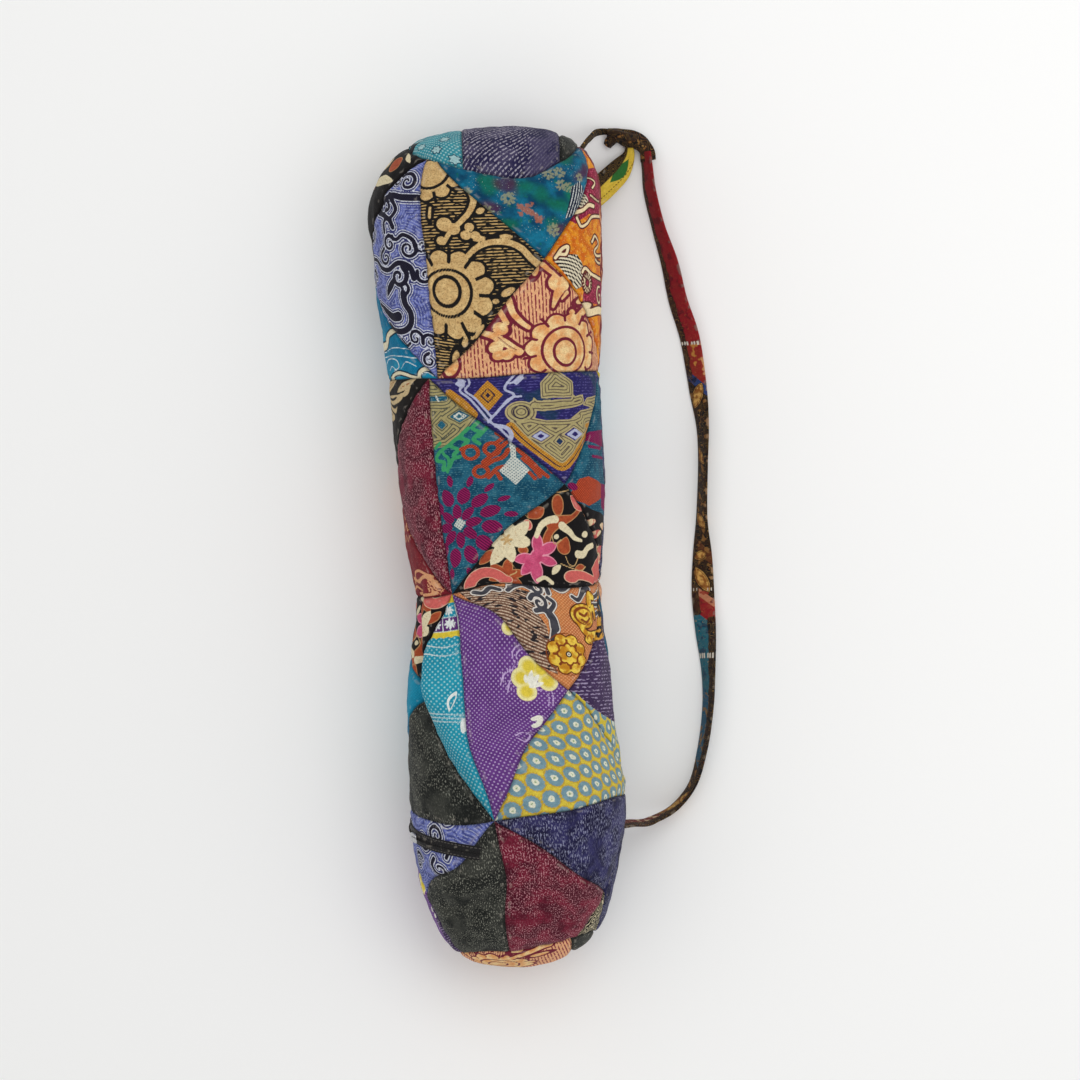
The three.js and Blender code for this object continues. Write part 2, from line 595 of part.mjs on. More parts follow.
// A flat or gathered cloth tube along a smooth route. size gives half its breadth and half its depth,
// and its roll, at a share of the way. grow swells it, to cut room for it in another piece.
function clothTube(points, size, sides, steps, grow = 0) {
  const curve = new THREE.CatmullRomCurve3(points, false, 'centripetal');
  const position = [];
  for (let i = 0; i <= steps; i++) {
    const at = i / steps;
    const centre = curve.getPoint(at);
    const ahead = curve.getTangent(at);
    const level = new THREE.Vector3(ahead.y, -ahead.x, 0).normalize();
    const up = level.clone().cross(ahead).normalize();
    const { broad, deep, roll } = size(at);
    for (let k = 0; k < sides; k++) {
      const angle = (2 * Math.PI * k) / sides;
      const [p, q] = [(broad + grow) * Math.cos(angle), (deep + grow) * Math.sin(angle)];
      const [c, s] = [Math.cos(roll), Math.sin(roll)];
      const spot = centre.clone().addScaledVector(level, p * c - q * s).addScaledVector(up, p * s + q * c);
      position.push(...spot.toArray());
    }
  }
  const triangles = [];
  for (let i = 0; i < steps; i++) {
    for (let k = 0; k < sides; k++) {
      const [a, b] = [i * sides + k, i * sides + ((k + 1) % sides)];
      triangles.push(a, a + sides, b, b, a + sides, b + sides);
    }
  }
  const last = steps * sides;
  for (let k = 1; k < sides - 1; k++) triangles.push(0, k, k + 1, last, last + k + 1, last + k);
  return faceOut(position, triangles);
}

// Half the height that a tipped oval takes up, which is how high its middle lies on the floor.
const restingHeight = (broad, deep, roll) => Math.hypot(broad * Math.sin(roll), deep * Math.cos(roll));

// A tube's points and size function from a route table.
function tubeFrom(route, broadOf, deepOf, rollOf) {
  const rows = route.map((row, i) => ({ ...row, at: i / (route.length - 1) }));
  const points = rows.map((row) => {
    const rest = restingHeight(broadOf(row), deepOf(row), rollOf(row)) + STRAP.clear;
    return new THREE.Vector3(row.across * BAG.width, row.along * BAG.length, rest + (row.lift ?? 0) * BAG.height);
  });
  const sized = rows.map((row) => ({ at: row.at, broad: broadOf(row), deep: deepOf(row), roll: rollOf(row) }));
  const size = (at) => ({
    broad: through(sized, 'at', 'broad', at),
    deep: through(sized, 'at', 'deep', at),
    roll: through(sized, 'at', 'roll', at),
  });
  return { points, size };
}

function strapTube(grow = 0) {
  const half = STRAP.width / 2;
  const { points, size } = tubeFrom(STRAP_ROUTE, () => half, () => STRAP.thick / 2, (row) => radians(row.roll));
  return clothTube(points, size, STRAP.sides, STRAP.steps, grow);
}

function knotTube(route) {
  const half = STRAP.width / 2;
  const { points, size } = tubeFrom(route, (row) => row.broad * half, (row) => row.deep * half, () => 0);
  return clothTube(points, size, KNOT.sides, KNOT.steps);
}

function loopTube(grow = 0) {
  const half = STRAP.width / 2;
  const rollOf = (row) => radians(row.roll);
  const { points, size } = tubeFrom(LOOP_ROUTE, (row) => row.broad * half, () => LOOP.thick / 2, rollOf);
  return clothTube(points, size, LOOP.sides, LOOP.steps, grow);
}

// What the zips, the strap and the loop may not enter: the patches and the end panels, swollen by the
// gap, over a closed core.
function bagToCutWith() {
  const solids = [];
  for (let row = 0; row < ROWS.length; row++) {
    for (let column = 0; column < COLUMNS; column++) {
      for (const side of SIDES) {
        solids.push(solidOf(patchWall(row, column, side, CLOTH.gap, -2 * CLOTH.wall, -2 * CLOTH.gap)));
      }
    }
  }
  for (const end of [TOP_END, BOTTOM_END]) {
    solids.push(solidOf(panelWall(end, CLOTH.gap, -2 * CLOTH.wall, -2 * CLOTH.gap)));
  }
  const [turns, lengths] = [36, 40];
  const pattern = gridPattern(turns, lengths, (s, t) => new THREE.Vector2(s === 1 ? 0 : s, t));
  const [low, high] = [-tipOf(BOTTOM_END), tipOf(TOP_END)];
  const core = closedSurface(pattern, (p) => lifted(360 * p.x, lerp(low, high, p.y), -1.5 * CLOTH.wall));
  return wasm.Manifold.union([...solids, solidOf(core)]);
}

// A closed surface from a pattern that wraps round and closes at its two ends.
function closedSurface(pattern, place) {
  const position = pattern.flat().flatMap((p) => place(p).toArray());
  const soup = new THREE.BufferGeometry().setAttribute('position', new THREE.Float32BufferAttribute(position, 3));
  const merged = mergeVertices(soup, 1e-3);
  const ids = [...merged.index.array];
  const kept = [];
  for (let i = 0; i < ids.length; i += 3) {
    const triangle = ids.slice(i, i + 3);
    if (new Set(triangle).size === 3) kept.push(...triangle);
  }
  return faceOut([...merged.attributes.position.array], kept);
}

const SIDES = ['top', 'right', 'bottom', 'left'];
const COLUMN_NAMES = ['front', 'under', 'left'];

// Cloths by name: colour, roughness and how metallic their threads look.
const CLOTHS = {
  periwinkle_scroll: [0x5a67a8, 0.85],
  black_gold_flower: [0x8d7442, 0.85],
  teal_blossom: [0x0b5f78, 0.8],
  orange_wave: [0xd98022, 0.85],
  peach_flower: [0xdf9c6c, 0.85],
  blue_cloud: [0x0f7fa0, 0.85],
  maroon_spark: [0x6b2138, 0.8],
  cream_scribble: [0xc9b993, 0.85],
  navy_weave: [0x2a2562, 0.9],
  teal_weave: [0x16526a, 0.9],
  black_garden: [0x241d1a, 0.85],
  red_key: [0x8f2430, 0.85],
  turquoise_dot: [0x1696ab, 0.85],
  purple_dot: [0x6c3a86, 0.85],
  copper_scroll: [0xb87048, 0.85],
  yellow_ring: [0xcdb638, 0.85],
  plum_dash: [0x412a52, 0.8],
  charcoal_spark: [0x2f312c, 0.8],
  navy_spark: [0x2c2b58, 0.8],
  red_batik: [0x8e1d26, 0.85],
  zip_black: [0x101014, 0.6],
};

// Which cloth each patch of a row is cut from, in the order of SIDES.
const PATCH_CLOTHS = [
  {
    front: ['teal_blossom', 'orange_wave', 'peach_flower', 'black_gold_flower'],
    under: ['maroon_spark', 'purple_dot', 'navy_spark', 'red_key'],
    left: ['black_garden', 'periwinkle_scroll', 'blue_cloud', 'charcoal_spark'],
  },
  {
    front: ['navy_weave', 'teal_weave', 'black_garden', 'teal_weave'],
    under: ['turquoise_dot', 'black_gold_flower', 'copper_scroll', 'navy_spark'],
    left: ['cream_scribble', 'maroon_spark', 'red_key', 'orange_wave'],
  },
  {
    front: ['copper_scroll', 'plum_dash', 'yellow_ring', 'purple_dot'],
    under: ['peach_flower', 'charcoal_spark', 'periwinkle_scroll', 'teal_blossom'],
    left: ['black_garden', 'turquoise_dot', 'charcoal_spark', 'blue_cloud'],
  },
  {
    front: ['navy_spark', 'navy_spark', 'cream_scribble', 'maroon_spark'],
    under: ['yellow_ring', 'red_key', 'black_garden', 'navy_spark'],
    left: ['periwinkle_scroll', 'charcoal_spark', 'plum_dash', 'purple_dot'],
  },
];
const TOP_PANEL_CLOTHS = ['turquoise_dot', 'plum_dash', 'charcoal_spark'];
const BOTTOM_PANEL_CLOTHS = ['peach_flower', 'charcoal_spark'];

const materials = Object.fromEntries(
  Object.entries(CLOTHS).map(([name, [color, roughness]]) => [
    name,
    new THREE.MeshStandardMaterial({ name, color, roughness, metalness: 0 }),
  ]),
);

const bag = new THREE.Group();

function addPiece(name, geometry, cloth) {
  const mesh = new THREE.Mesh(geometry, materials[cloth]);
  mesh.name = name;
  bag.add(mesh);
  return mesh;
}

for (let row = 0; row < ROWS.length; row++) {
  for (let column = 0; column < COLUMNS; column++) {
    SIDES.forEach((side, k) => {
      const name = `patch_${row + 1}_${COLUMN_NAMES[column]}_${side}`;
      const wall = patchWall(row, column, side, 0, -CLOTH.wall, CLOTH.gap);
      addPiece(name, wall, PATCH_CLOTHS[row][COLUMN_NAMES[column]][k]);
    });
  }
}

panelStrips(TOP_END, TOP_CUTS).forEach((strip, k) => {
  addPiece(`top_panel_${k + 1}`, strip, TOP_PANEL_CLOTHS[k]);
});
panelStrips(BOTTOM_END, BOTTOM_CUTS).forEach((strip, k) => {
  addPiece(`bottom_panel_${k + 1}`, strip, BOTTOM_PANEL_CLOTHS[k]);
});

const bagShape = bagToCutWith();
addPiece('pocket_zip', geometryOf(solidOf(zipOnBag(pocketRoute)).subtract(bagShape)), 'zip_black');
addPiece('pocket_zip_slider', zipSlider(), 'zip_black');
addPiece('closing_zip', geometryOf(solidOf(zipOnBag(closingRoute)).subtract(bagShape)), 'zip_black');

const loop = solidOf(loopTube()).subtract(bagShape);
const knotted = wasm.Manifold.union([
  solidOf(strapTube()),
  solidOf(knotTube(KNOT_WRAP)),
  solidOf(knotTube(KNOT_TAIL)),
]);
const strap = knotted.subtract(bagShape).subtract(solidOf(loopTube(CLOTH.gap)));
addPiece('strap_loop', geometryOf(loop), 'black_garden');
addPiece('shoulder_strap', geometryOf(strap), 'red_batik');

// The origin is in the middle of the whole outline, on the floor.
const whole = new THREE.Box3().setFromObject(bag, true);
bag.position.set(-(whole.min.x + whole.max.x) / 2, -(whole.min.y + whole.max.y) / 2, -whole.min.z);

export default bag;
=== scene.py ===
# Patchwork yoga mat bag on a pale surface, seen straight from above. Lengths in the tables are
# millimetres or shares of the bag's named sizes, and pieces are made in metres.
import math

import bpy
import numpy as np
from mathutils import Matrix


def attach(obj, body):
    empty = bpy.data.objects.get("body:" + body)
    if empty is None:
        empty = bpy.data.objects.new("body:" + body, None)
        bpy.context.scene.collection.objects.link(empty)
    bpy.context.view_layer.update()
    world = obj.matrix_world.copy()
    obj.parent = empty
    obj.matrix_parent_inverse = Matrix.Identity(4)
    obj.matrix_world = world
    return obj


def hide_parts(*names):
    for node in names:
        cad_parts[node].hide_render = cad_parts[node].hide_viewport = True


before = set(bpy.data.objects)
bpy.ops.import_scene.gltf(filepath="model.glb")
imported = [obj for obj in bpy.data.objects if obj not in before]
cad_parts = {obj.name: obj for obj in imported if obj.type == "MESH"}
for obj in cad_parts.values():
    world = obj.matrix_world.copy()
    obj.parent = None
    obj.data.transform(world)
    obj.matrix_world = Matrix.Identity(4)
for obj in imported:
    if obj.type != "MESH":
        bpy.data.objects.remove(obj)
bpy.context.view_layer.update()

# Named sizes of the stuffed bag, the same as in the part's source.
LENGTH = 681.0
WIDTH = 187.0
HEIGHT = 141.0
WALL = 2.0
COLUMNS = 3
GIRTH_RADIUS = (WIDTH + HEIGHT) / 4
BLOCK = 2 * math.pi * GIRTH_RADIUS / COLUMNS
ROW_LENGTH = LENGTH / 3.7
# The whole outline's middle is the frame's origin, so the bag's own axis lies beside it.
OFFSET = np.array([-41.03, 0.06, 0.0])


def table(names, *rows):
    """A short table as named columns."""
    return {name: np.array(column, float) for name, column in zip(names.split(), zip(*rows))}


# The domed ends: how deep each rounding runs in, and how square its corners are.
TOP_END = {"depth": 70.0, "square": 0.035, "way": 1.0}
BOTTOM_END = {"depth": 116.0, "square": 0.026, "way": -1.0}
BELT = 0.47
SAG = 1.07
SQUARE = 0.045

OUTLINE = table(
    "along left right crown",
    (-0.5, -0.5, 0.5, 0.9),
    (-0.45, -0.435, 0.46, 0.93),
    (-0.4, -0.43, 0.456, 0.96),
    (-0.33, -0.437, 0.486, 0.98),
    (-0.29, -0.434, 0.497, 0.97),
    (-0.22, -0.434, 0.46, 0.96),
    (-0.13, -0.406, 0.452, 0.95),
    (-0.07, -0.368, 0.44, 0.94),
    (0.02, -0.402, 0.454, 0.95),
    (0.11, -0.43, 0.466, 0.97),
    (0.18, -0.441, 0.46, 0.97),
    (0.25, -0.46, 0.474, 0.98),
    (0.33, -0.486, 0.494, 1.0),
    (0.397, -0.5, 0.5, 1.0),
    (0.5, -0.45, 0.55, 0.96),
)

# Creases (positive depth) and rolls (negative), each between two points given by turn and share of the
# length. reach and depth are shares of the height. All twelve are the solid's own.
FOLDS = [
    (160, -0.06, 157, -0.12, 0.09, 0.06),
    (157, -0.12, 149, -0.175, 0.1, 0.08),
    (149, -0.175, 109, -0.31, 0.1, 0.07),
    (143, -0.07, 135, -0.17, 0.13, -0.05),
    (135, -0.17, 98, -0.29, 0.12, -0.045),
    (84, 0.4, 62, 0.37, 0.15, 0.035),
    (153, 0.41, 126, 0.405, 0.05, 0.025),
    (4, -0.1, 8, -0.06, 0.2, 0.03),
    (136, -0.44, 100, -0.425, 0.07, 0.035),
    (95, -0.415, 62, -0.405, 0.09, 0.02),
    (95, 0.1, 80, 0.05, 0.4, 0.02),
    (30, -0.22, 40, -0.26, 0.25, 0.02),
]

# Places where a fold drags the patches along the surface.
PULLS = [
    (128, 0.39, 0.55, -9, 0),
    (118, -0.17, 0.35, -3, 0),
    (84, -0.21, 0.4, 5, 0),
    (97, -0.1, 0.27, 0, 0.016),
    (91, 0.02, 0.25, 0, 0.013),
    (84, -0.255, 0.22, 0, 0.013),
    (101, 0.252, 0.2, 0, -0.01),
    (98, -0.085, 0.2, -3, 0.005),
    (40, -0.315, 0.3, 0, 0.009),
    (55, -0.385, 0.25, 0, -0.013),
    (121, -0.372, 0.22, -5, -0.022),
    (128, 0.24, 0.35, -3, 0),
    (93, -0.4, 0.2, -3, 0),
]

RINGS = [(0.204, 0.0), (-0.057, 0.012), (-0.322, 0.034)]
ROWS = [(131.0, 121.0), (126.5, 124.0), (124.0, 101.0), (101.0, 98.0)]
# across, down: where a block's four triangles meet. top, low: from and to along its upper and lower edge.
BLOCKS = {
    (0, 0): {"across": 0.502, "down": 0.5, "top": (0.07, 1), "low": (0, 1)},
    (0, 1): {"across": 0.5, "down": 0.5, "top": (0, 1), "low": (0, 1)},
    (0, 2): {"across": 0.45, "down": 0.54, "top": (0, 1), "low": (0, 1)},
    (1, 0): {"across": 0.575, "down": 0.52, "top": (0, 1), "low": (0, 1)},
    (1, 1): {"across": 0.5, "down": 0.5, "top": (0, 1), "low": (0, 1)},
    (1, 2): {"across": 0.46, "down": 0.49, "top": (0, 1), "low": (0, 1)},
    (2, 0): {"across": 0.47, "down": 0.455, "top": (0, 1), "low": (0, 1)},
    (2, 1): {"across": 0.5, "down": 0.5, "top": (0, 1), "low": (0, 1)},
    (2, 2): {"across": 0.68, "down": 0.42, "top": (0, 1), "low": (0, 1)},
    (3, 0): {"across": 0.61, "down": 0.6, "top": (0, 1), "low": (0.46, 0.76)},
    (3, 1): {"across": 0.5, "down": 0.52, "top": (0, 1), "low": (0.35, 0.65)},
    (3, 2): {"across": 0.46, "down": 0.46, "top": (0, 1), "low": (0.34, 0.5)},
}
TOP_SEAM = table(
    "turn along", (16, 0.485), (52, 0.459), (76, 0.438), (104, 0.452), (131, 0.475), (180, 0.499),
    (230, 0.49), (310, 0.488),
)
BOTTOM_SEAM = table("turn along", (10, -0.487), (43, -0.497), (90, -0.525), (180, -0.525), (270, -0.515))
DIP_FADE = 4
TOP_SEAM_LEVEL = 0.478


def through(columns, key, column, at, period=0.0):
    """Value on a smooth curve through a table: cubic pieces whose slope at a row is that of the chord
    between the row's neighbours. A period joins the last row to the first."""
    keys, values = columns[key], columns[column]
    if period:
        keys = np.concatenate([keys - period, keys, keys + period])
        values = np.tile(values, 3)
    x = np.clip(at, keys[0], keys[-1])
    before = np.maximum(np.arange(len(keys)) - 1, 0)
    after = np.minimum(np.arange(len(keys)) + 1, len(keys) - 1)
    slope = (values[after] - values[before]) / (keys[after] - keys[before])
    i = np.clip(np.searchsorted(keys, x, side="right") - 1, 0, len(keys) - 2)
    span = keys[i + 1] - keys[i]
    t = (x - keys[i]) / span
    return (
        values[i] * (2 * t**3 - 3 * t**2 + 1)
        + values[i + 1] * (3 * t**2 - 2 * t**3)
        + span * (slope[i] * (t**3 - 2 * t**2 + t) + slope[i + 1] * (t**3 - t**2))
    )


def end_pace(end):
    """How far along the cloth one radian of an end's rounding is."""
    return end["depth"] * (1 + 3 * end["square"]) / (1 - end["square"])


def tip_of(end):
    """Distance along the cloth of an end's tip."""
    return end["way"] * (LENGTH / 2 - end["depth"] + end_pace(end) * math.pi / 2)


def meridian(cloth):
    """Place along Y and share of the full section, for a distance along the cloth: straight in the
    middle, then round the dome, whose arc is a circle's with its corners a little squared."""
    upper = cloth > 0
    depth = np.where(upper, TOP_END["depth"], BOTTOM_END["depth"])
    square = np.where(upper, TOP_END["square"], BOTTOM_END["square"])
    pace = np.where(upper, end_pace(TOP_END), end_pace(BOTTOM_END))
    start = LENGTH / 2 - depth
    bend = np.clip((np.abs(cloth) - start) / pace, 0, math.pi / 2)
    reach = (np.sin(bend) + square * np.sin(3 * bend)) / (1 - square)
    swell = (np.cos(bend) - square * np.cos(3 * bend)) / (1 - square)
    straight = np.abs(cloth) <= start
    y = np.where(straight, cloth, np.sign(cloth) * (start + depth * reach))
    return y, np.where(straight, 1.0, swell)


def plain_shape(turn, cloth):
    """The stuffed bag without folds: an oval section with slightly squared corners, whose left, right
    and crown follow the outline table, swept along the meridian."""
    y, swell = meridian(cloth)
    at = y / LENGTH
    left = through(OUTLINE, "along", "left", at) * WIDTH
    right = through(OUTLINE, "along", "right", at) * WIDTH
    crown = through(OUTLINE, "along", "crown", at) * HEIGHT
    belt = BELT * crown
    angle = np.radians(turn)
    side = (np.cos(angle) - SQUARE * np.cos(3 * angle)) / (1 - SQUARE)
    up = (np.sin(angle) + SQUARE * np.sin(3 * angle)) / (1 - SQUARE)
    half = np.where(up > 0, crown - belt, belt * SAG)
    return np.stack([(left + right) / 2 + (right - left) / 2 * swell * side, y, belt + half * swell * up], -1)


def outward(turn, cloth):
    """Outward direction of the plain shape: the cross product of its two slopes, scaled to one."""
    step = 0.4
    turned = plain_shape(turn + step, cloth) - plain_shape(turn - step, cloth)
    ahead = plain_shape(turn, cloth + step) - plain_shape(turn, cloth - step)
    normal = np.cross(ahead, turned)
    return normal / np.maximum(np.linalg.norm(normal, axis=-1, keepdims=True), 1e-9)


def off_line(turn, cloth, turn0, along0, turn1, along1):
    """Distance on the cloth from points to the line between two points of the bag."""
    away = np.mod(turn - turn0 + 180, 360) - 180
    px = np.radians(away) * GIRTH_RADIUS
    py = cloth - along0 * LENGTH
    lx = math.radians(turn1 - turn0) * GIRTH_RADIUS
    ly = (along1 - along0) * LENGTH
    t = np.clip((px * lx + py * ly) / max(lx * lx + ly * ly, 1e-9), 0, 1)
    return np.hypot(px - t * lx, py - t * ly)


def fold_depth(turn, cloth, folds):
    """Sum of the folds' dents: each falls off from its line as a bell curve."""
    depth = np.zeros(np.shape(turn))
    for turn0, along0, turn1, along1, reach, deep in folds:
        off = off_line(turn, cloth, turn0, along0, turn1, along1)
        depth += deep * HEIGHT * np.exp(-((off / (reach * HEIGHT)) ** 2))
    return depth


def ripple(points, wave, seed, count=7):
    """Smooth unevenness between about -1 and 1: a sum of sines along seeded directions in space."""
    rng = np.random.default_rng(seed)
    total = np.zeros(points.shape[:-1])
    for _ in range(count):
        way = rng.normal(size=3)
        way *= 2 * math.pi / (wave * rng.uniform(0.7, 1.4) * np.linalg.norm(way))
        total += np.sin(points @ way + rng.uniform(0, 2 * math.pi))
    return total / math.sqrt(count)


def bag_surface(turn, cloth, relief=0.0, folds=FOLDS):
    """The bag's cloth: the plain shape, dented by the folds, raised by relief, flat on the floor."""
    points = plain_shape(turn, cloth)
    rise = relief - fold_depth(turn, cloth, folds)
    points = points + outward(turn, cloth) * rise[..., None]
    points[..., 2] = np.maximum(points[..., 2], 0.0)
    return points


def pulled(turn, cloth):
    """Where a point of the sewn pattern ends up once the folds have dragged the cloth."""
    new_turn, new_cloth = turn.copy(), cloth.copy()
    for at_turn, at_along, reach, by_turn, by_along in PULLS:
        off = off_line(turn, cloth, at_turn, at_along, at_turn, at_along)
        share = np.exp(-((off / (reach * HEIGHT)) ** 2))
        new_turn += by_turn * share
        new_cloth += by_along * LENGTH * share
    return new_turn, new_cloth


def ring_at(row, turn):
    """Distance along the cloth of the ring above a row, which is an end panel's seam at the ends."""
    if row == 0:
        return through(TOP_SEAM, "turn", "along", np.mod(turn, 360), 360) * LENGTH
    if row == len(ROWS):
        return through(BOTTOM_SEAM, "turn", "along", np.mod(turn, 360), 360) * LENGTH
    along, rise = RINGS[row - 1]
    return (along + rise * (1 - np.cos(np.radians(turn - ROWS[row][0]))) / 2) * LENGTH


def in_row(row, across, down):
    """Turn and distance along the cloth of a point of a row, before the folds drag it."""
    upper_turn, lower_turn = ROWS[row]
    turn = upper_turn + (lower_turn - upper_turn) * down - 360 / COLUMNS * across
    upper, lower = ring_at(row, turn), ring_at(row + 1, turn)
    if row > 0:
        return turn, upper + (lower - upper) * down
    level = TOP_SEAM_LEVEL * LENGTH
    return turn, level + (lower - level) * down + (upper - level) * (1 - down) ** DIP_FADE


def patch_corners(row, column, side):
    """Corners of one patch of a block, across and down its row, going round it."""
    block = BLOCKS[row, column]
    meet = (block["across"], block["down"])
    (top_from, top_to), (low_from, low_to) = block["top"], block["low"]
    corners = {
        "top": [(top_from, 0), (top_to, 0), meet],
        "right": [(1, 1), (low_to, 1), meet, (top_to, 0), (1, 0)],
        "bottom": [(low_to, 1), (low_from, 1), meet],
        "left": [(0, 0), (top_from, 0), meet, (low_from, 1), (0, 1)],
    }[side]
    kept = [p for p, q in zip(corners, corners[1:] + corners[:1]) if math.dist(p, q) > 1e-6]
    return np.array([(column + across, down) for across, down in kept], float)


def net_between(corners, wide, long):
    """Points between three or four corners: a grid that runs from the first edge to the far edge or
    corner, and its faces. A far corner is one point, so the grid closes there."""
    s, t = np.meshgrid(np.linspace(0, 1, wide + 1), np.linspace(0, 1, long + 1))
    p0, p1, p2 = corners[0], corners[1], corners[2]
    p3 = corners[3] if len(corners) == 4 else p2
    near = p0 + s[..., None] * (p1 - p0)
    far = p3 + s[..., None] * (p2 - p3)
    points = (near + t[..., None] * (far - near)).reshape(-1, 2)
    index = np.arange(points.shape[0]).reshape(long + 1, wide + 1)
    if len(corners) == 3:
        index[-1] = index[-1, 0]
        points = points[: index[-1, 0] + 1]
    return points, index


def faces_of(index):
    """Four-sided faces between a grid's neighbouring points, three-sided where two points are one."""
    a, b, c, d = (g.ravel() for g in (index[:-1, :-1], index[:-1, 1:], index[1:, 1:], index[1:, :-1]))
    whole = c != d
    quads = np.stack([a, b, c, d], -1)[whole]
    triangles = np.stack([a, b, c], -1)[~whole]
    return quads, triangles


def edge_distance(points, corners):
    """Distance on the flat cloth from each point to the nearest edge of its patch."""
    scale = np.array([BLOCK, ROW_LENGTH])
    flat, ring = points * scale, corners * scale
    best = np.full(len(flat), 1e9)
    for start, end in zip(ring, np.roll(ring, -1, axis=0)):
        line = end - start
        t = np.clip((flat - start) @ line / (line @ line), 0, 1)
        best = np.minimum(best, np.linalg.norm(flat - start - t[:, None] * line, axis=1))
    return best


def make_piece(name, points, faces, uv=None, fields=None, flip=False):
    """A mesh object from points in millimetres of the bag's own frame, with flat cloth coordinates as
    its UV map and its fields as point attributes."""
    quads, triangles = faces
    if flip:
        quads, triangles = quads[:, ::-1], triangles[:, ::-1]
    mesh = bpy.data.meshes.new(name)
    corner = np.concatenate([quads.ravel(), triangles.ravel()]).astype(np.int32)
    mesh.vertices.add(len(points))
    mesh.loops.add(len(corner))
    mesh.polygons.add(len(quads) + len(triangles))
    mesh.vertices.foreach_set("co", ((points + OFFSET) / 1000).astype(np.float32).ravel())
    mesh.loops.foreach_set("vertex_index", corner)
    starts = np.concatenate([np.arange(len(quads)) * 4, len(quads) * 4 + np.arange(len(triangles)) * 3])
    mesh.polygons.foreach_set("loop_start", starts.astype(np.int32))
    mesh.polygons.foreach_set("use_smooth", np.ones(len(starts), bool))
    if uv is not None:
        layer = mesh.uv_layers.new(name="cloth")
        layer.data.foreach_set("uv", uv[corner].astype(np.float32).ravel())
    for field, values in (fields or {}).items():
        attribute = mesh.attributes.new(field, "FLOAT", "POINT")
        attribute.data.foreach_set("value", np.ascontiguousarray(values, np.float32))
    mesh.update(calc_edges=True)
    mesh.validate()
    piece = bpy.data.objects.new(name, mesh)
    bpy.context.scene.collection.objects.link(piece)
    return piece


def finish_piece(piece, node, material, thickness=None):
    """Gives a piece its finish and its wall, and lets it stand for its node."""
    piece.data.materials.append(material)
    if thickness:
        wall = piece.modifiers.new("wall", "SOLIDIFY")
        wall.thickness = thickness / 1000
        wall.offset = -1.0
    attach(piece, "root")
    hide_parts(node)
    return piece


